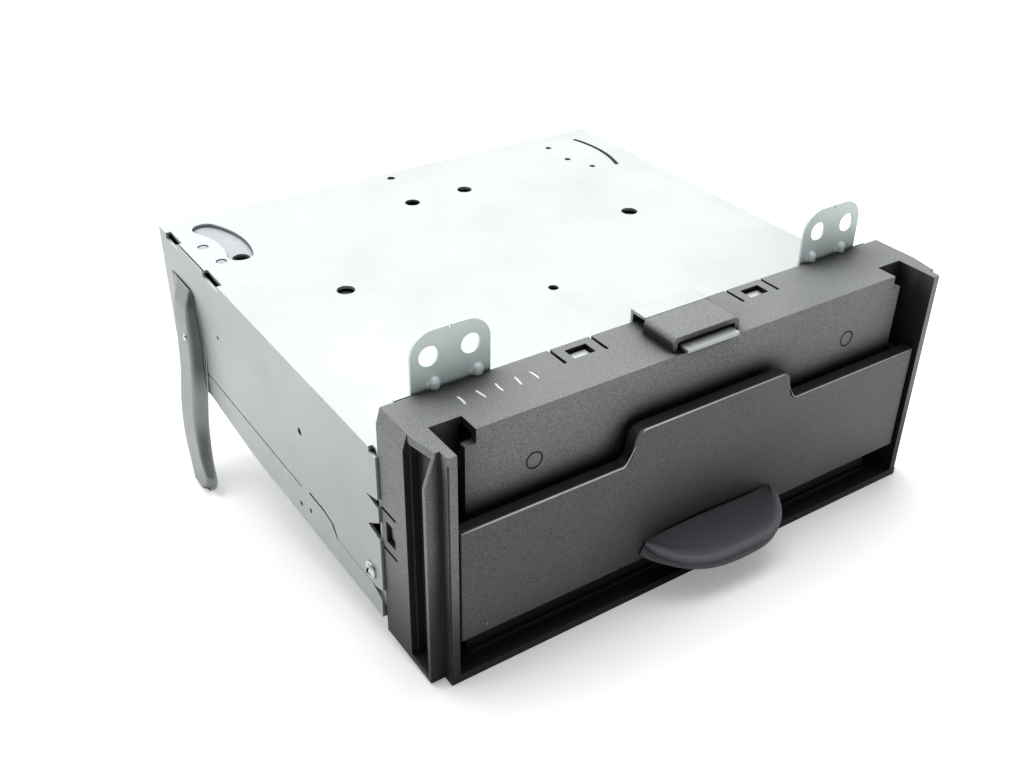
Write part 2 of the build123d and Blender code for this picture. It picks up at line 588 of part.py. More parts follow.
def ear_bracket():
    """Right ear: an upright plate with two bolt holes on a foot on the cover."""
    y0, y1 = COVER_Y, COVER_Y + EAR_T
    ear = block(EAR_IN, EAR_OUT, y0, y1, BOX_TOP, EAR_TOP)
    corners = ear.edges().filter_by(Axis.Y).group_by(Axis.Z)[-1]
    ear = fillet(corners, EAR_R)
    ear += block(EAR_OUT - 1, EAR_WING_X, y0, y1, BOX_TOP, EAR_WING_Z)
    ear += block(EAR_IN + 1, EAR_WING_X - 1, y0, y0 + FOOT_LEN, BOX_TOP, BOX_TOP + EAR_T)
    middle = (EAR_IN + EAR_OUT) / 2
    ear -= block(middle - EAR_NOTCH / 2, middle + EAR_NOTCH / 2, y0 - 1, y1 + 1,
                 EAR_TOP - EAR_NOTCH, EAR_TOP + 1)
    for side in (-1, 1):
        x = EAR_BOLT_X + side * EAR_BOLT_STEP / 2
        ear -= rod((x, y0 - 1, EAR_BOLT_Z), (x, y1 + 1, EAR_BOLT_Z), EAR_BOLT_R)
    for x in EAR_BUMP_X:
        bump = Pos(x, y0 - EAR_BUMP_OUT + EAR_BUMP_R, EAR_BUMP_Z) * Sphere(EAR_BUMP_R)
        ear += bump & block(x - 5, x + 5, y0 - 5, y1, EAR_BUMP_Z - 5, EAR_BUMP_Z + 5)
    for x in rivet_x():
        ear -= rod((x, rivet_y(), BOX_TOP - 1), (x, rivet_y(), BOX_TOP + 3), RIVET_R / 2)
    return ear


def rivet_x():
    return (EAR_IN + 8, EAR_WING_X - 8)


def rivet_y():
    return COVER_Y + EAR_T + FOOT_LEN / 2


def ear_rivets():
    solids = []
    for side in (-1, 1):
        for x in rivet_x():
            shank = rod((side * x, rivet_y(), TOP_IN), (side * x, rivet_y(), BOX_TOP + EAR_T),
                        RIVET_R / 2)
            head = rod((side * x, rivet_y(), BOX_TOP + EAR_T),
                       (side * x, rivet_y(), BOX_TOP + EAR_T + 1.0), RIVET_R)
            solids.append(shank + head)
    return solids


def slot_arc(data, z0, z1):
    """A curved slot through three points, with round ends."""
    start, middle, end, width = data
    arc = ThreePointArc(start, middle, end)
    return Pos(0, 0, z0) * extrude(SlotArc(arc, width), amount=z1 - z0)


def skirt_edge(y0, y1):
    """Lower edge of a side plate in Y and Z, from the rear to the front."""
    (front, rear), low, high = SKIRT_STEPS, SKIRT_Z, SKIRT_HIGH_Z
    return [(y1, low), (rear + 0.5, low), (rear - 0.5, high), (front + 7, high - 0.1),
            (front + 1, low), (front - 1.5, SKIRT_FRONT_Z), (y0 + 3.5, SKIRT_FRONT_Z),
            (y0, SKIRT_FRONT_Z + 1.2)]


def strip_outline(y0, y1):
    """The chassis' outer strip, flush with the side plate, with a slit above it."""
    (front, rear), low, high, gap = SKIRT_STEPS, SKIRT_Z, SKIRT_HIGH_Z, SKIRT_GAP
    return [(y0, STRIP_Z), (STRIP_REAR_Y - 40, STRIP_Z), (STRIP_REAR_Y - 29, STRIP_Z + 0.4),
            (STRIP_REAR_Y - 5, STRIP_Z + 2.6), (STRIP_REAR_Y + 3, BOX_FLOOR), (y1, BOX_FLOOR),
            (y1, low - gap), (rear + 2.6, low - gap), (rear + 2.4, low - 0.03),
            (rear + 0.48, low - 0.03), (rear - 0.52, high - 0.03), (rear - 2.8, high - 0.03),
            (rear - 3.0, high - 1.1), (front + 7.4, high - 1.2), (front + 2.2, low - 1.0),
            (front - 0.8, SKIRT_FRONT_Z - 0.4), (y0 + 4.5, SKIRT_FRONT_Z - 0.4),
            (y0, SKIRT_FRONT_Z - 3)]


def top_cover():
    """Lid and both side plates in one folded sheet."""
    shape = block(-HALF, HALF, COVER_Y, BOX_REAR, TOP_IN, BOX_TOP)
    side = [(BEZEL_D, BOX_TOP), (BOX_REAR, BOX_TOP)] + skirt_edge(BEZEL_D, BOX_REAR)
    shape += both_sides(across(side, INNER, HALF))
    for x, y, radius in TOP_HOLES:
        shape -= rod((x, y, TOP_IN - 1), (x, y, BOX_TOP + 1), radius)
    shape -= slot_arc(LEFT_WINDOW, TOP_IN - 1, BOX_TOP + 1)
    shape -= slot_arc(RIGHT_WINDOW, TOP_IN - 1, BOX_TOP + 1)
    for y0, y1 in FOLD_SLOTS:
        shape -= block(-HALF - 1, -HALF + FOLD_SLOT_W, y0, y1, TOP_IN - 1, BOX_TOP + 1)
    shape -= block(-HALF + FOLD_LINE[0], -HALF + FOLD_LINE[1], FOLD_SLOTS[0][1] - 1,
                   FOLD_SLOTS[1][0] + 1, BOX_TOP - FOLD_LINE_DEEP, BOX_TOP + 1)
    corner = block(HALF - CORNER_SLOT_R, HALF + 1, BEZEL_D - 1, COVER_Y + CORNER_SLOT,
                   TOP_IN - 0.6, BOX_TOP + 1)
    shape -= both_sides(corner)
    cuts = rod((INNER - 1, SIDE_SCREW_Y, SIDE_SCREW_Z), (HALF + 1, SIDE_SCREW_Y, SIDE_SCREW_Z),
               SCREW_R + HOLE_GAP)
    cuts += rod((INNER - 1, LEG_RIVET_Y, LEG_RIVET_Z), (HALF + 1, LEG_RIVET_Y, LEG_RIVET_Z),
                LEG_RIVET_R / 2)
    for y, z, radius in SIDE_HOLES:
        cuts += rod((INNER - 1, y, z), (HALF + 1, y, z), radius)
    for arrow in SIDE_ARROWS:
        cuts += across(arrow, INNER - 1, HALF + 1)
    shape -= both_sides(cuts)
    for side in (-1, 1):
        for x in rivet_x():
            shape -= rod((side * x, rivet_y(), TOP_IN - 1), (side * x, rivet_y(), BOX_TOP + 1),
                         RIVET_R / 2)
    return shape


def bottom_chassis():
    """Floor with two side walls that stand inside the cover's side plates."""
    top = FLOOR + CHASSIS_SIDE_H
    shape = block(-INNER, INNER, COVER_Y, BACK_IN, BOX_FLOOR, FLOOR)
    side = block(CHASSIS_IN, INNER, COVER_Y, BACK_IN, BOX_FLOOR, top)
    side += across(strip_outline(COVER_Y, BACK_IN), INNER - 0.4, HALF)
    side -= rod((CHASSIS_IN - 1, SIDE_SCREW_Y, SIDE_SCREW_Z),
                (INNER + 1, SIDE_SCREW_Y, SIDE_SCREW_Z), SCREW_R + HOLE_GAP)
    for y, z, radius in STRIP_HOLES:
        side -= rod((CHASSIS_IN - 1, y, z), (HALF + 1, y, z), radius)
    shape += both_sides(side)
    for x, y, radius in FLOOR_HOLES:
        shape -= rod((x, y, BOX_FLOOR - 1), (x, y, FLOOR + 1), radius)
    return shape


def connector_cut(y0, y1, grow=0.0):
    return block(CONN_X - CONN_W / 2 - grow, CONN_X + CONN_W / 2 + grow, y0, y1,
                 CONN_Z - CONN_H / 2 - grow, CONN_Z + CONN_H / 2 + grow)


REAR_SCREWS = [(-50.0, 52.0), (50.0, 52.0), (-45.0, 16.0), (50.0, 16.0)]


def rear_panel():
    shape = block(-INNER, INNER, BACK_IN, BOX_REAR, BOX_FLOOR, TOP_IN)
    # inward flange that the rear screws hold, along the top
    shape += block(-INNER + 12, INNER - 12, BACK_IN - 3, BACK_IN, TOP_IN - SHEET, TOP_IN)
    shape -= connector_cut(BACK_IN - 1, BOX_REAR + 1)
    for x, z in REAR_SCREWS:
        shape -= rod((x, BACK_IN - 1, z), (x, BOX_REAR + 1, z), SCREW_R + HOLE_GAP)
    for n in range(VENTS):
        x = VENT_X + VENT_STEP * n
        shape -= block(x, x + VENT_W, BACK_IN - 1, BOX_REAR + 1, VENT_Z0, VENT_Z1)
    return shape


def rear_screws():
    return [screw((x, BOX_REAR, z), (0, 1, 0)) for x, z in REAR_SCREWS]


def rear_connector():
    """Plug socket in the rear panel, with two rows of short pins."""
    shell = connector_cut(BOX_REAR - CONN_IN, CONN_REAR)
    bottom = CONN_REAR - CONN_DEEP
    shell -= block(CONN_X - CONN_W / 2 + CONN_WALL, CONN_X + CONN_W / 2 - CONN_WALL,
                   bottom, CONN_REAR + 1, CONN_Z - CONN_H / 2 + CONN_WALL,
                   CONN_Z + CONN_H / 2 - CONN_WALL)
    for n in range(8):
        x = CONN_X + (n - 3.5) * 2.6
        for z in (CONN_Z - 2.5, CONN_Z + 2.5):
            shell += block(x - PIN_SIZE / 2, x + PIN_SIZE / 2, bottom - 1, bottom + PIN_LEN,
                           z - PIN_SIZE / 2, z + PIN_SIZE / 2)
    return shell


def side_screws():
    return [screw((s * HALF, SIDE_SCREW_Y, SIDE_SCREW_Z), (s, 0, 0)) for s in (-1, 1)]


def leg_face(z, rear, front, gap, bulge, thick):
    """Crescent section of the right leg at one height."""
    x = HALF + gap
    mid = (rear + front) / 2
    outer = ThreePointArc((x, front, z), (x + bulge + thick, mid, z), (x, rear, z))
    inner = ThreePointArc((x, rear - 1.6, z), (x + bulge, mid, z), (x, front + 1.6, z))
    return make_face(outer + Line((x, rear, z), (x, rear - 1.6, z)) + inner
                     + Line((x, front + 1.6, z), (x, front, z)))


def right_leg():
    """Curved steel leg, riveted to the side plate and splayed at the foot."""
    leg = loft([leg_face(*s) for s in LEG_SECTIONS], ruled=True)
    return leg - rod((HALF - 1, LEG_RIVET_Y, LEG_RIVET_Z), (HALF + 20, LEG_RIVET_Y, LEG_RIVET_Z),
                     LEG_RIVET_R / 2)


def leg_surface_x():
    """How far out the leg's face lies at its rivet."""
    upper, lower = next((a, b) for a, b in zip(LEG_SECTIONS, LEG_SECTIONS[1:])
                        if b[0] <= LEG_RIVET_Z <= a[0])
    k = (LEG_RIVET_Z - lower[0]) / (upper[0] - lower[0])
    _, rear, front, gap, bulge, thick = (b + k * (a - b) for a, b in zip(upper, lower))
    bulge += thick
    half, off = (rear - front) / 2, LEG_RIVET_Y - (rear + front) / 2
    radius = (half ** 2 + bulge ** 2) / (2 * bulge)
    return HALF + gap + sqrt(radius ** 2 - off ** 2) - (radius - bulge)


def leg_rivets():
    out = leg_surface_x()
    solids = []
    for s in (-1, 1):
        shank = rod((s * INNER, LEG_RIVET_Y, LEG_RIVET_Z), (s * out, LEG_RIVET_Y, LEG_RIVET_Z),
                    LEG_RIVET_R / 2)
        head = rod((s * (out + RIVET_LIFT), LEG_RIVET_Y, LEG_RIVET_Z),
                   (s * (out + RIVET_LIFT + 0.7), LEG_RIVET_Y, LEG_RIVET_Z), LEG_RIVET_R)
        neck = rod((s * out, LEG_RIVET_Y, LEG_RIVET_Z),
                   (s * (out + RIVET_LIFT + 0.1), LEG_RIVET_Y, LEG_RIVET_Z), LEG_RIVET_R / 2)
        solids.append(shank + neck + head)
    return solids


# ---------------------------------------------------------------- mechanism
def mechanism_base():
    shape = block(-CHASSIS_IN + 0.5, CHASSIS_IN - 0.5, THROAT_Y1 + 0.5, BACK_IN - 1.5,
                  FLOOR, BASE_TOP)
    for x, y in LIFTS.values():
        shape -= rod((x, y, FLOOR - 1), (x, y, BASE_TOP + 1), JOURNAL_R + RUN)
    # bosses under the main board
    for x, y in board_corners():
        shape += rod((x, y, FLOOR), (x, y, BOARD_Z), 2.2)
    return shape


def board_corners():
    return [(x, y) for x in (BOARD_X0 + 3, BOARD_X1 - 3) for y in (BOARD_Y0 + 3, BOARD_Y1 - 3)]


def upper_frame():
    """Plate over the tray stack with the screws' upper bearings."""
    top = FRAME_Z + SHEET
    shape = block(-CHASSIS_IN + 0.5, CHASSIS_IN - 0.5, THROAT_Y1 + 0.5, BACK_IN - 4, FRAME_Z, top)
    shape -= rod((0, DISC_Y, FRAME_Z - 1), (0, DISC_Y, top + 1), TRAY_R - 6)
    for x, y in LIFTS.values():
        shape -= rod((x, y, FRAME_Z - 1), (x, y, top + 1), JOURNAL_R + RUN)
    x, y, radius = LEVER_HOLE
    shape -= rod((x, y, FRAME_Z - 1), (x, y, top + 1), radius + 0.8)
    for x, y in PIN_HEADS:
        shape += rod((x, y, top - 0.5), (x, y, BOX_TOP - 0.4), PIN_HEAD_R)
    return shape


def frame_posts():
    return [rod((x, y, BASE_TOP), (x, y, FRAME_Z), POST_R) for x, y in POSTS]


def cam_lever():
    """Grey cam lever on the upper frame, seen through the curved window."""
    start, middle, end, width = LEFT_WINDOW
    x, y, radius = LEVER_HOLE
    lever = slot_arc((start, middle, end, width + 2 * LEVER_UNDER), FRAME_Z + SHEET, TOP_IN - 0.2)
    return lever - rod((x, y, FRAME_Z), (x, y, TOP_IN + 1), radius)


def lift_screw(name, teeth=0):
    x, y = LIFTS[name]
    foot = BASE_TOP + RUN
    shape = rod((x, y, foot), (x, y, FRAME_Z - RUN), SCREW_SHAFT_R)
    shape += rod((x, y, FLOOR + RUN), (x, y, foot + 1), JOURNAL_R)
    shape += rod((x, y, FRAME_Z - 1), (x, y, FRAME_Z + SHEET), JOURNAL_R)
    if teeth:
        wheel = gear(teeth, GEAR_W, 0, turn=-90)
        shape += Pos(x, y, foot + 0.2) * wheel
    return shape


def lift_distance():
    return MODULE * (LIFT_TEETH + PINION_TEETH) / 2


def lift_pinion():
    x, y = LIFTS["left"]
    turn = gap_angle(LIFT_TEETH, -90, -90, PINION_TEETH)
    foot = BASE_TOP + RUN + 0.2
    y -= lift_distance()
    shaft = rod((x, y, foot), (x, y, foot + GEAR_W + 0.6), 1.0)
    return Pos(x, y, foot) * gear(PINION_TEETH, GEAR_W, 0, turn) + shaft


def lift_motor():
    x, y = LIFTS["left"]
    y -= lift_distance()
    z = BASE_TOP + RUN + GEAR_W + 1.2
    body = rod((x, y, z), (x, y, z + LIFT_MOTOR_LEN), LIFT_MOTOR_R)
    foot = block(x - LIFT_MOTOR_R, x + LIFT_MOTOR_R, y - LIFT_MOTOR_R - 1.4,
                 y - LIFT_MOTOR_R + 1.0, BASE_TOP, z + 8)
    return body + foot


def stack_nuts():
    """Three long nuts that carry all trays on the lift screws."""
    solids = []
    for x, y in LIFTS.values():
        nut = rod((x, y, STACK_BOTTOM), (x, y, TRAY_TOP_Z + TRAY_T), NUT_R)
        solids.append(nut - rod((x, y, 0), (x, y, 99), SCREW_SHAFT_R + RUN))
    return solids


def disc_tray(number):
    """Thin tray with three arms to the nuts and a mouth towards the deck."""
    z = TRAY_TOP_Z - (number - 1) * TRAY_PITCH
    shape = rod((0, DISC_Y, z), (0, DISC_Y, z + TRAY_T), TRAY_R)
    for x, y in LIFTS.values():
        angle = degrees(atan2(y - DISC_Y, x))
        reach = hypot(x, y - DISC_Y)
        arm = Pos(0, DISC_Y, z) * Rot(0, 0, angle) * block(TRAY_R - 8, reach, -EAR_ARM / 2,
                                                          EAR_ARM / 2, 0, TRAY_T)
        shape += arm + rod((x, y, z), (x, y, z + TRAY_T), NUT_R + NUT_RING)
    # recess for the disc, open middle and the mouth for the deck
    shape -= rod((0, DISC_Y, z + TRAY_T / 2), (0, DISC_Y, z + 9), TRAY_R - 1.5)
    shape -= rod((0, DISC_Y, z - 1), (0, DISC_Y, z + 9), TRAY_BORE)
    mouth = Pos(0, DISC_Y, z) * Rot(0, 0, 90 - SWING_DEG) * block(
        0, TRAY_R + 5, -TRAY_WEB / 2, TRAY_WEB / 2, -1, 9)
    shape -= mouth
    for x, y in LIFTS.values():
        shape -= rod((x, y, z - 1), (x, y, z + 9), NUT_R)
    return shape


def gear_train():
    """Centres of the idler and the motor pinion, in Y and Z."""
    a, b = radians(IDLER_ANGLE), radians(PINION_ANGLE)
    d1 = MODULE * (ROLLER_TEETH + IDLER_TEETH) / 2
    d2 = MODULE * (IDLER_TEETH + PINION_TEETH) / 2
    idler = (ROLLER_Y + d1 * cos(a), ROLLER_Z + d1 * sin(a))
    return idler, (idler[0] + d2 * cos(b), idler[1] + d2 * sin(b))


def gear_x():
    """Outer face of the loading gears."""
    return GEAR_PLATE_X - GEAR_GAP - GEAR_W


def gear_plate():
    """Upright plate at the left that carries the roller, the idler and the motor."""
    (iy, iz), (py, pz) = gear_train()
    x0, x1 = GEAR_PLATE_X, GEAR_PLATE_X + GEAR_PLATE_T
    shape = block(x0, x1, ROLLER_Y - BRACKET_HALF, py + MOTOR_R, BASE_TOP, pz + MOTOR_R)
    shape += block(x0, x1 + 6, ROLLER_Y - BRACKET_HALF, py + MOTOR_R, BASE_TOP, BASE_TOP + SHEET)
    shape -= rod((x0 - 1, ROLLER_Y, ROLLER_Z), (x1 + 1, ROLLER_Y, ROLLER_Z), SHAFT_R + RUN)
    shape -= rod((x0 - 1, iy, iz), (x1 + 1, iy, iz), SHAFT_R)
    shape -= rod((x0 - 1, py, pz), (x1 + 1, py, pz), 3.0)
    return shape


def roller_bracket():
    x0, x1 = ROLLER_BRACKET_X, ROLLER_BRACKET_X + GEAR_PLATE_T
    y0, y1 = ROLLER_Y - BRACKET_HALF, ROLLER_Y + BRACKET_HALF
    shape = block(x0, x1, y0, y1, BASE_TOP, ROLLER_Z + BRACKET_HALF)
    shape += block(x0, x1 + 6, y0, y1, BASE_TOP, BASE_TOP + SHEET)
    return shape - rod((x0 - 1, ROLLER_Y, ROLLER_Z), (x1 + 1, ROLLER_Y, ROLLER_Z), SHAFT_R + RUN)


def roller_shaft():
    return rod((gear_x(), ROLLER_Y, ROLLER_Z),
               (ROLLER_BRACKET_X + GEAR_PLATE_T + 1.0, ROLLER_Y, ROLLER_Z), SHAFT_R)


def feed_roller():
    """Rubber sleeve, a little thinner in the middle so that it centres a disc."""
    half = [(0, ROLLER_R * 0.86), (ROLLER_HALF * 0.5, ROLLER_R * 0.93), (ROLLER_HALF, ROLLER_R)]
    top = [(-x, r) for x, r in reversed(half[1:])] + half
    points = [(x, ROLLER_Y, ROLLER_Z + r) for x, r in top]
    points += [(x, ROLLER_Y, ROLLER_Z + SHAFT_R) for x in (ROLLER_HALF, -ROLLER_HALF)]
    face = make_face(Polyline(*points, close=True))
    return revolve(face, Axis((0, ROLLER_Y, ROLLER_Z), (1, 0, 0)), 360)


def gear_turns():
    idler = gap_angle(ROLLER_TEETH, IDLER_ANGLE, IDLER_ANGLE, IDLER_TEETH)
    return idler, gap_angle(IDLER_TEETH, idler, PINION_ANGLE, PINION_TEETH)


def roller_gear():
    return facing_x(gear_x(), ROLLER_Y, ROLLER_Z) * gear(ROLLER_TEETH, GEAR_W, SHAFT_R,
                                                        IDLER_ANGLE)


def idler_gear():
    (iy, iz), _ = gear_train()
    return facing_x(gear_x(), iy, iz) * gear(IDLER_TEETH, GEAR_W, SHAFT_R + RUN,
                                            gear_turns()[0])


def idler_pin():
    (iy, iz), _ = gear_train()
    pin = rod((gear_x() - 1.0, iy, iz), (GEAR_PLATE_X + GEAR_PLATE_T, iy, iz), SHAFT_R)
    return (pin + rod((gear_x() - 1.0, iy, iz), (gear_x() - 0.2, iy, iz), SHAFT_R + 1)
            + rod((GEAR_PLATE_X - GEAR_GAP + 0.2, iy, iz), (GEAR_PLATE_X, iy, iz), SHAFT_R + 1))


def motor_pinion():
    _, (py, pz) = gear_train()
    wheel = facing_x(gear_x(), py, pz) * gear(PINION_TEETH, GEAR_W, 0, gear_turns()[1])
    return wheel + rod((gear_x() + 1, py, pz), (GEAR_PLATE_X + GEAR_PLATE_T - 0.1, py, pz), 1.0)


def loading_motor():
    _, (py, pz) = gear_train()
    x0 = GEAR_PLATE_X + GEAR_PLATE_T
    return rod((x0, py, pz), (x0 + MOTOR_LEN, py, pz), MOTOR_R)


# -------------------------------------------------------------- playing deck
def deck(u, v=0.0, z=0.0):
    """A point of the parked deck: u from the pivot to the tip, v to the right."""
    return (PIVOT_X + v, PIVOT_Y - u, z)


def deck_block(u0, u1, v0, v1, z0, z1):
    return block(PIVOT_X + v0, PIVOT_X + v1, PIVOT_Y - u1, PIVOT_Y - u0, z0, z1)


def deck_pivot_post():
    post = rod(deck(0, 0, BASE_TOP), deck(0, 0, FRAME_Z), PIVOT_R)
    collar = rod(deck(0, 0, BASE_TOP), deck(0, 0, DECK_Z - 0.1), BOSS_R)
    return post + collar


def play_deck():
    top = DECK_Z + DECK_T
    shape = deck_block(0, SWING_R, -DECK_HALF, DECK_HALF, DECK_Z, top)
    shape += rod(deck(0, 0, DECK_Z), deck(0, 0, top), DECK_HALF)
    shape += rod(deck(SWING_R, 0, DECK_Z), deck(SWING_R, 0, top), DECK_TIP_R)
    shape -= deck_block(12, ROD_U1 + 0.5, -4.6, 4.6, DECK_Z - 1, top + 1)
    shape += rod(deck(0, 0, DECK_Z), deck(0, 0, HINGE_Z), BOSS_R)
    # blocks that hold the guide rods and tabs that hold the feed screw
    for u0, u1 in ((ROD_U0 - ROD_END_IN, ROD_U0), (ROD_U1, ROD_U1 + ROD_END_OUT)):
        for side in (-1, 1):
            v = side * ROD_V
            shape += deck_block(u0, u1, v - 2, v + 2, top - 0.2, ROD_Z + ROD_R + 0.8)
    for v in (-ROD_V, ROD_V):
        shape -= rod(deck(ROD_U0 - ROD_END_IN, v, ROD_Z), deck(ROD_U1 + ROD_END_OUT, v, ROD_Z),
                     ROD_R)
    for u0, u1 in ((ROD_U0 - 1.0, ROD_U0), (ROD_U1 + 0.5, ROD_U1 + 1.5)):
        tab = deck_block(u0, u1, -4.8, 4.8, FEED_Z - 2.2, top)
        shape += tab - rod(deck(u0 - 1, 0, FEED_Z), deck(u1 + 1, 0, FEED_Z), FEED_R + RUN)
    # ears of the clamp arm's hinge
    for side in (-1, 1):
        v0 = side * (ARM_HALF + HINGE_EAR_GAP)
        v1 = v0 + side * HINGE_EAR_T
        ear = deck_block(HINGE_U - 3, HINGE_U + 3, min(v0, v1), max(v0, v1), top - 0.2, HINGE_Z + 3)
        shape += ear
    shape -= rod(deck(HINGE_U, -DECK_HALF, HINGE_Z), deck(HINGE_U, DECK_HALF, HINGE_Z), HINGE_R)
    shape -= rod(deck(0, 0, 0), deck(0, 0, 99), PIVOT_R + RUN)
    # bore of the spindle motor's bearing
    return shape - rod(deck(SWING_R, 0, 0), deck(SWING_R, 0, 99), STEM_R + RUN)


def spindle_motor():
    z = DECK_Z + DECK_T
    can = rod(deck(SWING_R, 0, z), deck(SWING_R, 0, z + SPINDLE_MOTOR_H), SPINDLE_MOTOR_R)
    return can - rod(deck(SWING_R, 0, 0), deck(SWING_R, 0, 99), STEM_R + RUN)


def turntable():
    low = DECK_Z + DECK_T + SPINDLE_MOTOR_H + 0.3
    plate = rod(deck(SWING_R, 0, TABLE_Z - 1.5), deck(SWING_R, 0, TABLE_Z), TABLE_R)
    neck = rod(deck(SWING_R, 0, low), deck(SWING_R, 0, TABLE_Z - 1), HUB_R)
    hub = rod(deck(SWING_R, 0, TABLE_Z - 1), deck(SWING_R, 0, TABLE_Z + HUB_H), HUB_R)
    hub = chamfer(hub.edges().group_by(Axis.Z)[-1], 0.8)
    return plate + neck + hub + rod(deck(SWING_R, 0, DECK_Z), deck(SWING_R, 0, low + 1), STEM_R)


def guide_rods():
    return [rod(deck(ROD_U0 - ROD_END_IN, s * ROD_V, ROD_Z),
                deck(ROD_U1 + ROD_END_OUT, s * ROD_V, ROD_Z), ROD_R)
            for s in (-1, 1)]


def feed_screw():
    return rod(deck(ROD_U0 - 1.4, 0, FEED_Z), deck(ROD_U1 + 1.5, 0, FEED_Z), FEED_R)


def sled_motor():
    u1 = ROD_U0 - 1.5
    return rod(deck(u1 - SLED_MOTOR_LEN + 4, 0, FEED_Z), deck(u1, 0, FEED_Z), SLED_MOTOR_R) \
        + deck_block(u1 - SLED_PAD_LEN, u1, -SLED_PAD_HALF, SLED_PAD_HALF, FEED_Z - 0.8, DECK_Z)


def pickup_sled():
    shape = deck_block(SLED_U0, SLED_U1, -SLED_HALF, SLED_HALF, SLED_Z0, SLED_Z1)
    shape += deck_block(SLED_U0 + SLED_NUT_IN, SLED_U1 - SLED_NUT_IN, -SLED_NUT_HALF,
                        SLED_NUT_HALF, FEED_Z - FEED_R - 1.4, SLED_Z0 + 1)
    for v, z, r in ((-ROD_V, ROD_Z, ROD_R), (ROD_V, ROD_Z, ROD_R), (0, FEED_Z, FEED_R)):
        shape -= rod(deck(SLED_U0 - 1, v, z), deck(SLED_U1 + 1, v, z), r + RUN)
    return shape


def objective_lens():
    u = (SLED_U0 + SLED_U1) / 2
    lens = rod(deck(u, 0, SLED_Z1), deck(u, 0, SLED_Z1 + LENS_H), LENS_R)
    return fillet(lens.edges().group_by(Axis.Z)[-1], 0.7)


def clamp_arm():
    shape = deck_block(HINGE_U, SWING_R, -ARM_HALF, ARM_HALF, ARM_Z, ARM_Z + ARM_T)
    shape += rod(deck(SWING_R, 0, ARM_Z), deck(SWING_R, 0, ARM_Z + ARM_T), ARM_HALF)
    shape += rod(deck(HINGE_U, -ARM_HALF, HINGE_Z), deck(HINGE_U, ARM_HALF, HINGE_Z), 2.4)
    shape -= rod(deck(HINGE_U, -9, HINGE_Z), deck(HINGE_U, 9, HINGE_Z), HINGE_R + RUN)
    return shape - rod(deck(SWING_R, 0, 0), deck(SWING_R, 0, 99), STEM_R + RUN)


def clamp_pin():
    v = ARM_HALF + HINGE_EAR_GAP + HINGE_EAR_T
    return rod(deck(HINGE_U, -v, HINGE_Z), deck(HINGE_U, v, HINGE_Z), HINGE_R)


def clamper():
    plate = rod(deck(SWING_R, 0, CLAMPER_Z0), deck(SWING_R, 0, CLAMPER_Z1), CLAMPER_R)
    stem = rod(deck(SWING_R, 0, CLAMPER_Z1 - 1), deck(SWING_R, 0, ARM_Z + ARM_T + 1), STEM_R)
    cap_z = ARM_Z + ARM_T + 0.3
    cap = rod(deck(SWING_R, 0, cap_z), deck(SWING_R, 0, cap_z + CAP_H), CAP_R)
    return plate + stem + cap


# ---------------------------------------------------------------- electronics
def main_board():
    return block(BOARD_X0, BOARD_X1, BOARD_Y0, BOARD_Y1, BOARD_Z, BOARD_Z + BOARD_T)


def board_parts():
    """Two chips, three capacitors and a flat cable socket on the board."""
    z = BOARD_Z + BOARD_T
    mid = (BOARD_X0 + BOARD_X1) / 2
    parts = [block(mid - 8, mid + 6, BOARD_Y0 + 8, BOARD_Y0 + 22, z, z + 2.2),
             block(mid - 5, mid + 5, BOARD_Y0 + 30, BOARD_Y0 + 40, z, z + 1.6),
             block(mid - 9, mid + 9, BOARD_Y1 - 8, BOARD_Y1 - 3, z, z + 4.0)]
    for n in range(3):
        y = BOARD_Y0 + 46 + 6 * n
        parts.append(rod((BOARD_X1 - 6, y, z), (BOARD_X1 - 6, y, z + 6.5), 2.4))
    return parts


# -------------------------------------------------------------------- export
def left(shape):
    return mirror(shape, about=Plane.YZ)


PIECES = {
    "front_bezel": front_bezel, "slot_felts": slot_felts,
    "upper_throat": lambda: throat(1), "lower_throat": lambda: throat(-1),
    "shutter_door": shutter_door, "shutter_grip": shutter_grip,
    "front_frame": front_frame, "front_hook": front_hook,
    "left_ear_bracket": lambda: left(ear_bracket()), "right_ear_bracket": ear_bracket,
    "ear_rivets": ear_rivets, "top_cover": top_cover, "bottom_chassis": bottom_chassis,
    "rear_panel": rear_panel, "rear_screws": rear_screws, "rear_connector": rear_connector,
    "side_screws": side_screws, "left_rear_leg": lambda: left(right_leg()),
    "right_rear_leg": right_leg, "leg_rivets": leg_rivets,
    "mechanism_base": mechanism_base, "upper_frame": upper_frame,
    "frame_posts": frame_posts, "cam_lever": cam_lever,
    "lift_screw_left": lambda: lift_screw("left", LIFT_TEETH),
    "lift_screw_right": lambda: lift_screw("right"),
    "lift_screw_rear": lambda: lift_screw("rear"),
    "lift_pinion": lift_pinion, "lift_motor": lift_motor, "stack_nuts": stack_nuts,
    "gear_plate": gear_plate, "roller_bracket": roller_bracket,
    "roller_shaft": roller_shaft, "feed_roller": feed_roller, "roller_gear": roller_gear,
    "idler_gear": idler_gear, "idler_pin": idler_pin, "motor_pinion": motor_pinion,
    "loading_motor": loading_motor, "deck_pivot_post": deck_pivot_post,
    "play_deck": play_deck, "spindle_motor": spindle_motor, "turntable": turntable,
    "guide_rods": guide_rods, "feed_screw": feed_screw, "sled_motor": sled_motor,
    "pickup_sled": pickup_sled, "objective_lens": objective_lens, "clamp_arm": clamp_arm,
    "clamp_pin": clamp_pin, "clamper": clamper, "main_board": main_board,
    "board_parts": board_parts,
}
for tray_number in range(1, TRAYS + 1):
    PIECES[f"disc_tray_{tray_number}"] = lambda n=tray_number: disc_tray(n)

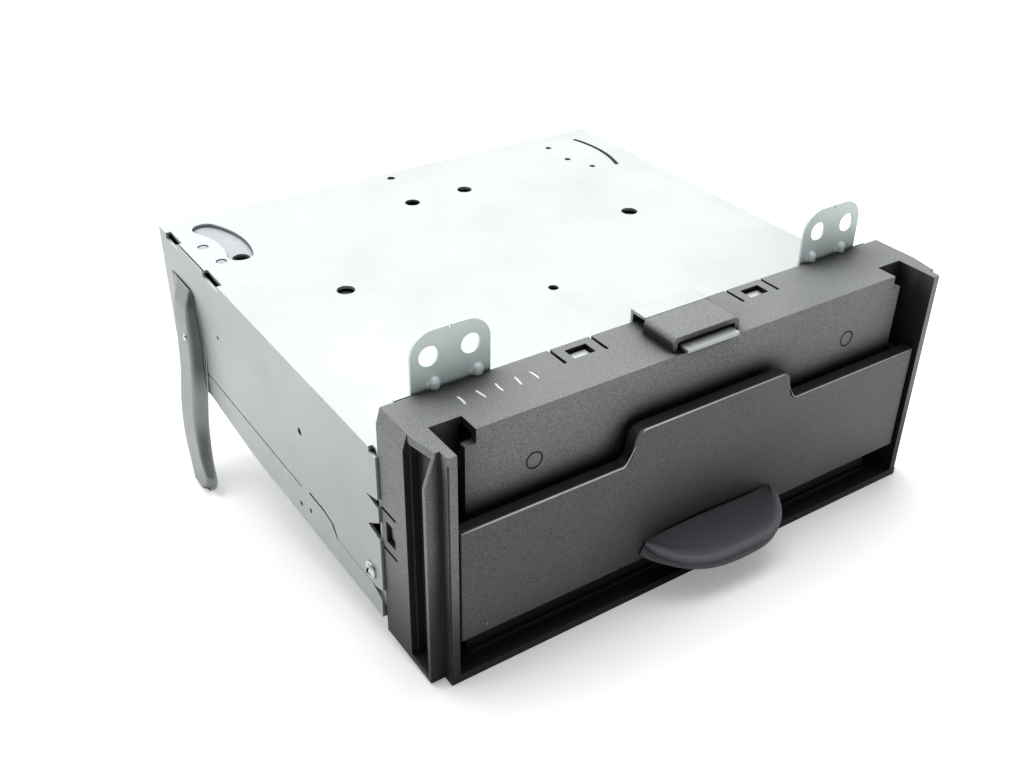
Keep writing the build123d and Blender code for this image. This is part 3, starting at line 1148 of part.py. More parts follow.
os.makedirs("parts", exist_ok=True)
for name, make in PIECES.items():
    made = make()
    solids = [s for piece in (made if isinstance(made, list) else [made])
              for s in piece.solids()]
    placed = Compound([Pos(*ORIGIN_SHIFT) * solid for solid in solids]) \
        if len(solids) > 1 else Pos(*ORIGIN_SHIFT) * solids[0]
    export_step(placed, f"parts/{name}.step")
print(f"{len(PIECES)} pieces; origin moved by {ORIGIN_SHIFT.Y:.2f} in Y, {ORIGIN_SHIFT.Z:.2f} in Z")
print(f"deck swings {SWING_DEG:.2f} deg; spindle parked at y {SPINDLE_Y + ORIGIN_SHIFT.Y:.2f}")
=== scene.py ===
# %% [markdown]
# # An in-dash disc changer, dressed for the camera
#
# The CAD model gives every piece its place. This lesson adds what the CAD can't
# say: how the moulded plastic, the zinc-plated sheet and the turned metal look.
# Everything is in metres, in the CAD model's own frame: X to the right, Y from
# the plastic front to the rear, Z up. Sizes typed in millimetres start at the middle
# of the front's lower edge, where a ruler would be laid, and `at` turns such a
# point into a point of this scene.

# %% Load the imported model
import json
import math
import bmesh
import bpy
from mathutils import Matrix, Vector


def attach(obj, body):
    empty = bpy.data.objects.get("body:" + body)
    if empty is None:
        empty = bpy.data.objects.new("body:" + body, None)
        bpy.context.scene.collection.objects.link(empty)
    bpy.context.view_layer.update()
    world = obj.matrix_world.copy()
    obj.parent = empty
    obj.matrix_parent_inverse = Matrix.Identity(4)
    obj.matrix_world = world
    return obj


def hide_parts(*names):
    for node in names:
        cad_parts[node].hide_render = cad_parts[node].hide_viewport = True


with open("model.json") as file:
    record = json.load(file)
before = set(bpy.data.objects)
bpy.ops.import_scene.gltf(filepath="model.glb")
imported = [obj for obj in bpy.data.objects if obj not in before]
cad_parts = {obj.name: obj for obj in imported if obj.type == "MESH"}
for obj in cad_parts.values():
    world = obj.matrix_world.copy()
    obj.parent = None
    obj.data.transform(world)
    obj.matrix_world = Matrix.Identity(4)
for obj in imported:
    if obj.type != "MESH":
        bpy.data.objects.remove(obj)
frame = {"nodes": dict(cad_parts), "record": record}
nodes, record = frame["nodes"], frame["record"]
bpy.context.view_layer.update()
scene = bpy.context.scene
MM = 0.001
SHIFT = Vector((0.0, -87.0, 27.8))          # from the ruler's origin to the scene's, in mm
UP = Vector((0, 0, 1))


def at(x, y, z):
    """A point typed in mm, as a point of this scene, in metres."""
    return (Vector((x, y, z)) + SHIFT) * MM


# %% [markdown]
# The camera stands where the photographer stood. It could be placed by eye, but its place
# and its three turns were found by laying about forty points of the model over the picture.

# %% Camera
LENS, SENSOR = 40.51, 36.0                  # mm
CAMERA_PLACE = (-0.19351, -0.27128, 0.25881)    # metres
CAMERA_TURNS = ((-34.1515, "Z"), (57.3893, "X"), (0.8948, "Z"))     # degrees

camera = bpy.data.objects.new("camera", bpy.data.cameras.new("camera"))
scene.collection.objects.link(camera)
camera.data.lens, camera.data.sensor_width = LENS, SENSOR
camera.data.clip_start = 0.01
heading, tilt, roll = (Matrix.Rotation(math.radians(angle), 4, axis)
                       for angle, axis in CAMERA_TURNS)
camera.matrix_world = Matrix.Translation(CAMERA_PLACE) @ (heading @ tilt @ roll)
bpy.context.scene.camera = camera
print("camera with a lens of", LENS, "mm")

# %% [markdown]
# The object leans forward: it rests on both rear legs and on the lower front edge
# of the plastic front. The object itself can't be tipped, because every piece keeps
# its CAD place, so the table is tipped instead: a plane through those three places,
# not the level plane Z = 0.

# %% The table
TABLE_REACH, TABLE_GAP = 9.0, 0.0001        # metres

front_edge, foot = at(0, 0, 0), at(0, 150, -27.8)
lean = math.atan2(front_edge.z - foot.z, foot.y - front_edge.y)


def table_height(y):
    """The table's height at y, a hair below what stands on it."""
    return front_edge.z - (y - front_edge.y) * math.tan(lean) - TABLE_GAP


corners = [(x * TABLE_REACH, y * TABLE_REACH)
           for x, y in ((-1, -1), (1, -1), (1, 1), (-1, 1))]
table_mesh = bpy.data.meshes.new("table")
table_mesh.from_pydata([(x, y, table_height(y)) for x, y in corners], [], [(0, 1, 2, 3)])
table = bpy.data.objects.new("table", table_mesh)
scene.collection.objects.link(table)
print(f"the object leans forward by {math.degrees(lean):.1f} degrees")

# %% [markdown]
# All the light and paint below is made of nodes, and node code soon gets long. Three
# helpers keep it readable: one makes a node and fills its inputs, each with a plain
# value or another node's output, one does arithmetic, and one moves a value from one
# range to another.

# %% Helpers for nodes
def add_node(tree, kind, inputs=None, **settings):
    """A new node; inputs are given by name or number, settings by name."""
    node = tree.nodes.new(kind)
    for name, value in settings.items():
        setattr(node, name, value)
    for label, item in (inputs or {}).items():
        if isinstance(item, bpy.types.NodeSocket):
            tree.links.new(item, node.inputs[label])
        else:
            node.inputs[label].default_value = item
    return node


def value_math(tree, operation, a, b, clamp=False):
    """A Math node; a and b are sockets or plain numbers."""
    return add_node(tree, "ShaderNodeMath", {0: a, 1: b},
                    operation=operation, use_clamp=clamp).outputs[0]


def map_range(tree, value, source, target=(0.0, 1.0), smooth=False):
    """Moves a value from the source range to the target range, with soft ends or not."""
    return add_node(tree, "ShaderNodeMapRange", {
        "Value": value, "From Min": source[0], "From Max": source[1],
        "To Min": target[0], "To Max": target[1],
    }, interpolation_type="SMOOTHSTEP" if smooth else "LINEAR").outputs["Result"]


print("three helpers for nodes")

# %% [markdown]
# The light is that of a white shooting table: a room that is pale behind and above
# the object and dark in front of it. That pale side turns the flat lid nearly white,
# because flat metal shows what lies at the mirror angle. A lit room could be built
# from walls, but two soft ramps over the direction do the same: one rises towards
# the pale side, one towards the ceiling, and the brighter of the two counts. The
# camera alone sees plain white behind the object, so no lamp has to burn it out.

# %% The room
ROOM_COLOUR = (0.955, 0.985, 1.0, 1.0)
PALE_SIDE = (0.10, 0.79, 0.60)              # where the room is palest
WALL_FROM, WALL_LIGHT = (-0.05, 0.85), (0.06, 1.45)
CEILING_FROM, CEILING_LIGHT = (0.15, 0.70), (0.0, 0.38)

scene.view_settings.view_transform = "Standard"
world = bpy.data.worlds.new("room")
scene.world = world
world.use_nodes = True
tree = world.node_tree
tree.nodes.clear()
direction = add_node(tree, "ShaderNodeTexCoord").outputs["Generated"]
toward = add_node(tree, "ShaderNodeVectorMath", {0: direction, 1: PALE_SIDE},
                  operation="DOT_PRODUCT")
wall = map_range(tree, toward.outputs["Value"], WALL_FROM, WALL_LIGHT, smooth=True)
climb = add_node(tree, "ShaderNodeSeparateXYZ", {0: direction}).outputs["Z"]
ceiling = map_range(tree, climb, CEILING_FROM, CEILING_LIGHT, smooth=True)
room = add_node(tree, "ShaderNodeBackground", {
    "Color": ROOM_COLOUR, "Strength": value_math(tree, "MAXIMUM", wall, ceiling)})
backdrop = add_node(tree, "ShaderNodeBackground", {"Color": (1, 1, 1, 1), "Strength": 1.0})
rays = add_node(tree, "ShaderNodeLightPath")
seen = add_node(tree, "ShaderNodeMixShader", {
    "Fac": rays.outputs["Is Camera Ray"], 1: room.outputs[0], 2: backdrop.outputs[0]})
add_node(tree, "ShaderNodeOutputWorld", {"Surface": seen.outputs[0]})
print("room with a pale side and a pale ceiling")

# %% [markdown]
# Two wide soft lamps, one behind and one above, give the shadows their direction.
# Small lamps would draw hard edges that the picture doesn't have.

# %% The lamps
LAMP_AIM = (0, 0, 0.05)                     # the middle of the object


def soft_lamp(name, place, width, height, watts):
    """A rectangular lamp at a place, turned to the object."""
    data = bpy.data.lights.new(name, "AREA")
    data.shape, data.size, data.size_y = "RECTANGLE", width, height
    data.energy = watts
    lamp = bpy.data.objects.new(name, data)
    scene.collection.objects.link(lamp)
    lamp.location = place
    aim = Vector(LAMP_AIM) - Vector(place)
    lamp.rotation_euler = aim.to_track_quat("-Z", "Y").to_euler()


soft_lamp("lamp_behind", (0.55, 1.25, 1.05), 1.7, 1.1, 6.0)
soft_lamp("lamp_above", (0.05, 0.25, 1.4), 1.2, 1.0, 9.0)
print("two soft lamps")

# %% [markdown]
# The table takes the rest of its white from its own paint: a matt white, to which a
# faint glow is added for the camera alone. More lamp light would do it too, but it
# would also bleach the object.

# %% The table's paint
TABLE_WHITE, TABLE_GLOW = (0.885, 0.89, 0.87, 1), 0.26

paint = bpy.data.materials.new("white_table")
paint.use_nodes = True
tree = paint.node_tree
tree.nodes.clear()
matt = add_node(tree, "ShaderNodeBsdfDiffuse", {"Color": TABLE_WHITE})
glow = add_node(tree, "ShaderNodeEmission", {"Strength": TABLE_GLOW})
both = add_node(tree, "ShaderNodeAddShader", {0: matt.outputs[0], 1: glow.outputs[0]})
rays = add_node(tree, "ShaderNodeLightPath")
seen = add_node(tree, "ShaderNodeMixShader", {
    "Fac": rays.outputs["Is Camera Ray"], 1: matt.outputs[0], 2: both.outputs[0]})
add_node(tree, "ShaderNodeOutputMaterial", {"Surface": seen.outputs[0]})
table_mesh.materials.append(paint)
print("a white table")

# %% [markdown]
# Several finishes share the same effects, so each effect is one shader group with
# named inputs. A group gives out only a mask, a value or a normal: the shader
# itself stays in each material, where it can be read and changed on its own.
#
# `moulded_grain` is the fine spark-eroded texture of injection moulds: two sizes
# of noise, one for the tiny pits and one for the slow cloudiness of the surface.

# %% Group: moulded grain
FLOAT, VECTOR = "NodeSocketFloat", "NodeSocketVector"


def new_group(name, inputs, outputs):
    """An empty shader group; inputs are (name, type, default), outputs (name, type)."""
    group = bpy.data.node_groups.new(name, "ShaderNodeTree")
    for label, kind, default in inputs:
        socket = group.interface.new_socket(label, in_out="INPUT", socket_type=kind)
        socket.default_value = default
    for label, kind in outputs:
        group.interface.new_socket(label, in_out="OUTPUT", socket_type=kind)
    return group, group.nodes.new("NodeGroupInput"), group.nodes.new("NodeGroupOutput")


def give_out(group, gout, **results):
    """Links what a group has worked out to its outputs."""
    for label, socket in results.items():
        group.links.new(socket, gout.inputs[label])


moulded_grain, gin, gout = new_group(
    "moulded_grain",
    [("Place", VECTOR, (0, 0, 0)), ("Pits per metre", FLOAT, 2600.0),
     ("Cloud per metre", FLOAT, 45.0)],
    [("Pits", FLOAT), ("Cloud", FLOAT)])
pits = add_node(moulded_grain, "ShaderNodeTexNoise", {
    "Vector": gin.outputs["Place"], "Scale": gin.outputs["Pits per metre"],
    "Detail": 3.0, "Roughness": 0.65})
cloud = add_node(moulded_grain, "ShaderNodeTexNoise", {
    "Vector": gin.outputs["Place"], "Scale": gin.outputs["Cloud per metre"],
    "Detail": 4.0})
give_out(moulded_grain, gout, Pits=pits.outputs["Fac"], Cloud=cloud.outputs["Fac"])
print("group", moulded_grain.name)

# %% [markdown]
# CAD edges are perfectly sharp, and no real edge is. The Bevel node looks at the surface a
# fraction of a millimetre around each point and bends the normal there, so that edges catch
# a thin line of light. Where its normal leaves the true one, there is an edge: that gives
# the mask for paler edges, which are partly rubbed wear and partly a painted highlight.

# %% Group: soft edges
FLAT_AGREES, EDGE_AGREES = 0.995, 0.80      # how far the two normals agree, 1 is fully

soft_edges, gin, gout = new_group(
    "soft_edges", [("Radius", FLOAT, 0.0004)], [("Normal", VECTOR), ("Edge", FLOAT)])
bevel = add_node(soft_edges, "ShaderNodeBevel", {"Radius": gin.outputs["Radius"]},
                 samples=6)
surface = add_node(soft_edges, "ShaderNodeNewGeometry")
agree = add_node(soft_edges, "ShaderNodeVectorMath", {
    0: bevel.outputs["Normal"], 1: surface.outputs["Normal"]}, operation="DOT_PRODUCT")
give_out(soft_edges, gout, Normal=bevel.outputs["Normal"],
         Edge=map_range(soft_edges, agree.outputs["Value"], (FLAT_AGREES, EDGE_AGREES)))
print("group", soft_edges.name)

# %% [markdown]
# The deep tracks and the gaps between the parts are nearly black on the real object,
# because they see little light. Cycles gives most of that by itself, and painted shade adds
# the rest. The Ambient Occlusion node measures how much of the sky a point sees within a
# short distance, and the base colour is darkened where it sees little. The mask lies on the
# surface and stays there in every view.

# %% Group: painted shade in hollows
painted_hollow_shade, gin, gout = new_group(
    "painted_hollow_shade", [("Reach", FLOAT, 0.010), ("Closed", FLOAT, 0.30), ("Open", FLOAT, 0.85)],
    [("Open", FLOAT)])
sky_seen = add_node(painted_hollow_shade, "ShaderNodeAmbientOcclusion", {
    "Distance": gin.outputs["Reach"]}, samples=8)
open_air = map_range(painted_hollow_shade, sky_seen.outputs["AO"],
                     (gin.outputs["Closed"], gin.outputs["Open"]), smooth=True)
give_out(painted_hollow_shade, gout, Open=open_air)
print("group", painted_hollow_shade.name)

# %% [markdown]
# A used part carries a few specks of dust. A Voronoi cell pattern has one point in
# each cell. The spot round that point is a speck, but only in the share of cells
# whose random colour is low, or the dust would look like a printed grid.

# %% Group: dust
SPECK_SIZE = 0.026                          # as a share of a cell

dust, gin, gout = new_group(
    "dust", [("Place", VECTOR, (0, 0, 0)), ("Cells per metre", FLOAT, 120.0),
             ("Share", FLOAT, 0.25)], [("Speck", FLOAT)])
cells = add_node(dust, "ShaderNodeTexVoronoi", {
    "Vector": gin.outputs["Place"], "Scale": gin.outputs["Cells per metre"]})
near = value_math(dust, "LESS_THAN", cells.outputs["Distance"], SPECK_SIZE)
chance = add_node(dust, "ShaderNodeSeparateColor", {0: cells.outputs["Color"]})
kept = value_math(dust, "LESS_THAN", chance.outputs[0], gin.outputs["Share"])
give_out(dust, gout, Speck=value_math(dust, "MULTIPLY", near, kept))
print("group", dust.name)

# %% [markdown]
# Zinc-plated sheet is not a mirror. It has a soft cloudiness from the plating, a
# light matt frost of tiny crystals, and very fine rolling lines along one direction.
# The lines are a noise that is pulled long, which is cheaper than drawing lines and
# never repeats.

# %% Group: zinc plating
ROLLED_PER_METRE = (1800.0, 22.0, 1800.0)   # fine across the sheet, long along Y

zinc_plating, gin, gout = new_group(
    "zinc_plating",
    [("Place", VECTOR, (0, 0, 0)), ("Frost per metre", FLOAT, 1500.0),
     ("Cloud per metre", FLOAT, 28.0)],
    [("Frost", FLOAT), ("Cloud", FLOAT), ("Rolling", FLOAT)])
frost = add_node(zinc_plating, "ShaderNodeTexNoise", {
    "Vector": gin.outputs["Place"], "Scale": gin.outputs["Frost per metre"],
    "Detail": 2.0})
cloud = add_node(zinc_plating, "ShaderNodeTexNoise", {
    "Vector": gin.outputs["Place"], "Scale": gin.outputs["Cloud per metre"],
    "Detail": 5.0})
stretch = add_node(zinc_plating, "ShaderNodeMapping", {
    "Vector": gin.outputs["Place"], "Scale": ROLLED_PER_METRE})
lines = add_node(zinc_plating, "ShaderNodeTexNoise", {
    "Vector": stretch.outputs[0], "Scale": 1.0, "Detail": 2.0})
give_out(zinc_plating, gout, Frost=frost.outputs["Fac"], Cloud=cloud.outputs["Fac"],
         Rolling=lines.outputs["Fac"])
print("group", zinc_plating.name)

# %% [markdown]
# Every finish is a base colour that is changed step by step and then goes into the
# material's own shader. The tools for it: start a material, place a group in it,
# stretch a noise over a range, lay one colour over another by a mask, and make a
# colour darker or lighter. Patterns follow Object coordinates, so that they stay on
# their piece when it moves.

# %% Helpers for materials
def start_material(name):
    """A new node material with its Principled shader and Object coordinates."""
    material = bpy.data.materials.new(name)
    material.use_nodes = True
    tree = material.node_tree
    shader = tree.nodes["Principled BSDF"]
    place = tree.nodes.new("ShaderNodeTexCoord").outputs["Object"]
    return material, tree, shader, place


def use_group(tree, group, place=None, **values):
    """A group placed in a material, with values of its own."""
    inputs = {label.replace("_", " "): number for label, number in values.items()}
    if place is not None:
        inputs["Place"] = place
    return add_node(tree, "ShaderNodeGroup", inputs, node_tree=group)


def spread(tree, value, low, high, start=0.3, end=0.7):
    """Stretches a noise, whose values crowd round 0.5, over a range."""
    return map_range(tree, value, (start, end), (low, high))


def mix_colour(tree, mask, a, b):
    """Goes from a to b by a mask; each is a socket or a plain colour."""
    a, b = ((*item, 1.0) if isinstance(item, tuple) else item for item in (a, b))
    mix = add_node(tree, "ShaderNodeMix", {0: mask, 6: a, 7: b}, data_type="RGBA")
    return mix.outputs[2]


def scaled(colour, factor):
    """A colour made darker or lighter, but not past white."""
    return tuple(min(1.0, c * factor) for c in colour)


print("five helpers for materials")

# %% [markdown]
# Painted light and shade, step by step. The shutter's upper edges get a painted highlight,
# over a top face in painted shade. The shutter gets painted shade round the grip. The grip
# has a painted sheen along its bead and the legs painted shade in their folds: how much,
# the mesh itself stores, point by point, because only the code that builds the shape knows
# it. Hollows get painted shade in every finish, and the bump lies over the softened edges.

# %% Steps of painted light and depth
CREST_TOP_SHADE, GRIP_SHADE, FOLD_SHADE = 0.15, 0.22, 0.25      # how dark, 1 is unchanged


def paint_crest_light(tree, base, edges, colour, crest_highlight):
    """A painted highlight on the upper edges, and painted shade on the top face between
    them.
    """
    facing = add_node(tree, "ShaderNodeSeparateXYZ", {0: edges.outputs["Normal"]})
    upper_edge_highlight = value_math(tree, "MULTIPLY", facing.outputs["Z"], edges.outputs["Edge"],
                       clamp=True)
    surface = add_node(tree, "ShaderNodeNewGeometry")
    level = add_node(tree, "ShaderNodeSeparateXYZ", {0: surface.outputs["Normal"]})
    top_face_shade = spread(tree, level.outputs["Z"], 0.0, 1.0, 0.75, 0.95)
    base = mix_colour(tree, top_face_shade, base, scaled(colour, CREST_TOP_SHADE))
    crest_highlight_mask = value_math(tree, "MULTIPLY", upper_edge_highlight, 1.5, clamp=True)
    return mix_colour(tree, crest_highlight_mask, base, crest_highlight)


def paint_grip_shade(tree, base, place, colour, middle, size):
    """Painted shade: darker round a middle, fading out over a size in each direction."""
    away = place
    for operation, amount in (("SUBTRACT", middle), ("DIVIDE", size)):
        away = add_node(tree, "ShaderNodeVectorMath", {0: away, 1: amount},
                        operation=operation).outputs[0]
    far = add_node(tree, "ShaderNodeVectorMath", {0: away}, operation="LENGTH")
    grip_shade_mask = map_range(tree, far.outputs["Value"], (0.15, 1.0), (0.85, 0.0), smooth=True)
    return mix_colour(tree, grip_shade_mask, base, scaled(colour, GRIP_SHADE))


def stored(tree, name):
    """A mask that the mesh stores under a name."""
    return add_node(tree, "ShaderNodeAttribute", attribute_name=name).outputs["Fac"]


def paint_hollow_shade(tree, base, colour, shade_in_hollows, reach, closed, opened):
    """Painted shade: darker where a point sees little of the sky."""
    open_air = use_group(tree, painted_hollow_shade, Reach=reach, Closed=closed, Open=opened)
    return mix_colour(tree, open_air.outputs["Open"], scaled(colour, shade_in_hollows), base)


def add_relief(tree, shader, height, edges, strength, depth):
    """Bump from a height, over the softened edges."""
    relief = add_node(tree, "ShaderNodeBump", {
        "Strength": strength, "Distance": depth, "Height": height,
        "Normal": edges.outputs["Normal"]})
    tree.links.new(relief.outputs["Normal"], shader.inputs["Normal"])


print("five steps of wear and depth")

# %% [markdown]
# Two recipes make all finishes. Plastic is a dark colour that wanders a little with the
# cloud. The raised points between its pits get a painted glint, a paler colour that gives
# the moulded front its speckle. Its edges get a paler colour too, which is partly rubbed
# wear and partly a painted highlight, and the pits are also its bump. A plain colour with
# bump alone looks like rubber.

# %% Recipe: moulded plastic
PIT_DEPTH, DUST_COLOUR = 0.0002, (0.45, 0.45, 0.43)


def moulded_plastic(name, colour, edge_wear_and_highlight, rough=(0.48, 0.6), bump=0.12,
                    pit_scale=2600.0, radius=0.0003, dusty=0.0, coat=0.0, ior=1.47,
                    sparkle=0.5, glint=2.2, shade_in_hollows=0.12, reach=0.010, closed=0.30,
                    opened=0.85, crest_highlight=None, grip_sheen=None, grip_shade=None):
    """Colours are linear, lengths in metres; the painted shade round the grip takes
    (middle, size).
    """
    material, tree, shader, place = start_material(name)
    grain = use_group(tree, moulded_grain, place, Pits_per_metre=pit_scale)
    edges = use_group(tree, soft_edges, Radius=radius)
    base = mix_colour(tree, spread(tree, grain.outputs["Cloud"], 0.0, 1.0),
                      scaled(colour, 0.86), scaled(colour, 1.12))
    # painted glints: the raised points between the pits are made paler
    glints = spread(tree, grain.outputs["Pits"], 0.0, sparkle, 0.42, 0.72)
    base = mix_colour(tree, glints, base, scaled(colour, glint))
    # paler edges: partly rubbed wear, partly a painted highlight
    worn_and_lit_edges = value_math(tree, "MULTIPLY", edges.outputs["Edge"], 0.55)
    base = mix_colour(tree, worn_and_lit_edges, base, edge_wear_and_highlight)
    # a painted highlight on the shutter's upper edges, painted shade on its top face
    if crest_highlight:
        base = paint_crest_light(tree, base, edges, colour, crest_highlight)
    # painted shade round the grip
    if grip_shade:
        base = paint_grip_shade(tree, base, place, colour, *grip_shade)
    # painted sheen on the grip's bead and wall, as the mesh stores it
    if grip_sheen:
        base = mix_colour(tree, stored(tree, "painted_sheen"), base, grip_sheen)
    if dusty:
        specks = use_group(tree, dust, place, Share=dusty)
        base = mix_colour(tree, specks.outputs["Speck"], base, DUST_COLOUR)
    # painted shade: the base colour darkens where a point sees little of the sky
    base = paint_hollow_shade(tree, base, colour, shade_in_hollows, reach, closed, opened)
    tree.links.new(base, shader.inputs["Base Color"])
    tree.links.new(spread(tree, grain.outputs["Pits"], *rough), shader.inputs["Roughness"])
    shader.inputs["IOR"].default_value = ior
    shader.inputs["Coat Weight"].default_value = coat
    add_relief(tree, shader, grain.outputs["Pits"], edges, bump, PIT_DEPTH)
    return material


print("recipe for moulded plastic")

# %% [markdown]
# Metal is the same idea, with its colour moved by cloud and frost, and its roughness
# carried by the frost and the rolling lines. A dull film lies on some of the sheets,
# so their Metallic is below 1 and they take some white from every side.

# %% Recipe: plated metal
FROST_DEPTH, METAL_EDGE_WEAR_AND_HIGHLIGHT = 0.0001, (0.95, 0.96, 0.96)
CLOUD_DARKER, CLOUD_LIGHTER = 1 - 0.10, 1 + 0.10 * 0.4


def plated_metal(name, colour, rough=(0.30, 0.42), bump=0.06, metallic=1.0, shade=None):
    """shade names a mask on the mesh for painted shade, 0 in the dark of a fold."""
    material, tree, shader, place = start_material(name)
    plating = use_group(tree, zinc_plating, place)
    edges = use_group(tree, soft_edges, Radius=0.0003)
    base = mix_colour(tree, spread(tree, plating.outputs["Cloud"], 0.0, 1.0),
                      scaled(colour, CLOUD_DARKER), scaled(colour, CLOUD_LIGHTER))
    base = mix_colour(tree, spread(tree, plating.outputs["Frost"], 0.0, 0.25), base,
                      scaled(colour, 0.8))
    # brighter edges: partly rubbed wear, partly a painted highlight
    worn_and_lit_edges = value_math(tree, "MULTIPLY", edges.outputs["Edge"], 0.5)
    base = mix_colour(tree, worn_and_lit_edges, base, METAL_EDGE_WEAR_AND_HIGHLIGHT)
    # painted shade in the folds, as the mesh stores it
    if shade:
        base = mix_colour(tree, stored(tree, shade), scaled(colour, FOLD_SHADE), base)
    # painted shade in the hollows of the metal
    base = paint_hollow_shade(tree, base, colour, shade_in_hollows=0.2, reach=0.0025, closed=0.2,
                        opened=0.75)
    tree.links.new(base, shader.inputs["Base Color"])
    shader.inputs["Metallic"].default_value = metallic
    both = value_math(tree, "ADD", plating.outputs["Frost"], plating.outputs["Rolling"])
    texture = value_math(tree, "MULTIPLY", both, 0.5)
    tree.links.new(spread(tree, texture, *rough), shader.inputs["Roughness"])
    add_relief(tree, shader, plating.outputs["Frost"], edges, bump, FROST_DEPTH)
    return material


print("recipe for plated metal")

# %% [markdown]
# The finishes by name. The names are the record's material slots, so that a piece and its
# CAD node agree on what they are made of. The front is charcoal, dry and speckled, and the
# shutter darker and smoother, with a painted highlight along its crest. Felts, board and
# lens lie inside, mostly out of sight.

# %% The plastic finishes
PLASTICS = {
    "charcoal_plastic": dict(
        colour=(0.140, 0.142, 0.141), edge_wear_and_highlight=(0.30, 0.30, 0.31), bump=0.4,
        pit_scale=3400.0, sparkle=0.9, glint=2.9,
        # painted shade in hollows, reaching far, as above the shutter
        shade_in_hollows=0.04, reach=0.046, closed=0.60, opened=1.0),
    "shutter_plastic": dict(
        colour=(0.035, 0.037, 0.037), edge_wear_and_highlight=(0.13, 0.13, 0.14),
        rough=(0.34, 0.48), bump=0.2, radius=0.0006, pit_scale=3400.0,
        sparkle=1.0, glint=4.2, dusty=0.10, ior=1.56,
        # crest: the colour of the painted highlight along the shutter's upper edges
        shade_in_hollows=0.2, reach=0.026, closed=0.50, opened=0.97, crest_highlight=(0.42, 0.42, 0.46),
        # the middle and size of the painted shade round the grip
        grip_shade=(tuple(at(-1.0, 1.0, 20.5)), (0.052, 0.02, 0.0300))),
    "grip_rubber": dict(
        colour=(0.019, 0.020, 0.026), edge_wear_and_highlight=(0.10, 0.10, 0.11),
        rough=(0.44, 0.54), bump=0.2, pit_scale=3000.0,
        # the colour of the painted sheen on the grip's bead and wall
        shade_in_hollows=0.2, reach=0.004, closed=0.45, opened=0.95, grip_sheen=(0.125, 0.126, 0.142)),
    # the pale rod of the painted highlight along the shutter's upper edge
    "edge_highlight_paint": dict(
        colour=(0.50, 0.50, 0.54), edge_wear_and_highlight=(0.6, 0.6, 0.63),
        rough=(0.30, 0.42), bump=0.1),
    "black_felt": dict(
        colour=(0.014, 0.014, 0.016), edge_wear_and_highlight=(0.03, 0.03, 0.03),
        rough=(0.9, 1.0), bump=0.8, pit_scale=1500.0),
    "black_plastic": dict(colour=(0.022, 0.022, 0.024), edge_wear_and_highlight=(0.09, 0.09, 0.09)),
    "grey_plastic": dict(colour=(0.42, 0.42, 0.45), edge_wear_and_highlight=(0.6, 0.6, 0.6)),
    "white_plastic": dict(colour=(0.72, 0.72, 0.69), edge_wear_and_highlight=(0.85, 0.85, 0.83)),
    "rubber": dict(
        colour=(0.025, 0.025, 0.025), edge_wear_and_highlight=(0.05, 0.05, 0.05),
        rough=(0.7, 0.85), bump=0.3),
    "board_green": dict(
        colour=(0.02, 0.13, 0.06), edge_wear_and_highlight=(0.4, 0.38, 0.2),
        rough=(0.25, 0.35), bump=0.03),
    "lens_glass": dict(
        colour=(0.20, 0.25, 0.42), edge_wear_and_highlight=(0.4, 0.45, 0.6),
        rough=(0.04, 0.07), bump=0.0, coat=1.0),
}
finishes = {name: moulded_plastic(name, **look) for name, look in PLASTICS.items()}
print(len(PLASTICS), "plastic finishes")

# %% [markdown]
# The box is zinc-plated. The ears are the same steel with a paler and less metallic copy of
# its finish: painted light on faces that the room leaves dark. The legs have a darker
# finish, with painted shade in their folds.

# %% The metal finishes, and every CAD node dressed
METALS = {
    "zinc_steel": dict(colour=(0.470, 0.488, 0.482), rough=(0.34, 0.46), metallic=0.82),
    # ear_steel: a paler copy of the zinc, painted light
    "ear_steel": dict(colour=(0.80, 0.90, 0.89), rough=(0.34, 0.48), metallic=0.22),
    "leg_steel": dict(colour=(0.315, 0.335, 0.326), rough=(0.30, 0.44), metallic=0.75,
                      shade="fold"),
    "screw_steel": dict(colour=(0.66, 0.67, 0.66), rough=(0.22, 0.34)),
    "bright_steel": dict(colour=(0.72, 0.72, 0.71), rough=(0.16, 0.28), bump=0.02),
    "aluminium": dict(colour=(0.74, 0.74, 0.75), rough=(0.4, 0.5), bump=0.2),
}
finishes.update({name: plated_metal(name, **look) for name, look in METALS.items()})
for part in record["subparts"]:
    body = nodes[part["node"]].data
    body.materials.clear()
    body.materials.append(finishes[part["material_slot"]])
print(len(finishes), "finishes for", len(record["subparts"]), "nodes")

# %% [markdown]
# From here on, pieces are built. Each starts as a bmesh, an editable mesh in memory,
# and two helpers serve them all: one closes the walls between rings of points, and
# one merges doubled points, turns the faces outwards and makes an object of it.

# %% Helpers for pieces
def loft(bm, rings):
    """Walls between closed rings of points, with a cap at each end."""
    for one, other in zip(rings, rings[1:]):
        for a in range(len(one)):
            b = (a + 1) % len(one)
            bm.faces.new((one[a], one[b], other[b], other[a]))
    bm.faces.new(rings[0])
    bm.faces.new(rings[-1][::-1])


def finish_mesh(name, bm, material, smooth=True, weld=1e-6):
    """Welds a bmesh, turns its faces outwards and makes an object of it."""
    bmesh.ops.remove_doubles(bm, verts=bm.verts, dist=weld)
    bmesh.ops.recalc_face_normals(bm, faces=bm.faces)
    mesh = bpy.data.meshes.new(name)
    bm.to_mesh(mesh)
    bm.free()
    for face in mesh.polygons:
        face.use_smooth = smooth
    mesh.materials.append(material)
    piece = bpy.data.objects.new(name, mesh)
    scene.collection.objects.link(piece)
    return piece


def ease(low, high, value):
    """0 below low, 1 above high, smooth between."""
    k = min(1.0, max(0.0, (value - low) / (high - low)))
    return k * k * (3 - 2 * k)


print("three helpers for pieces")

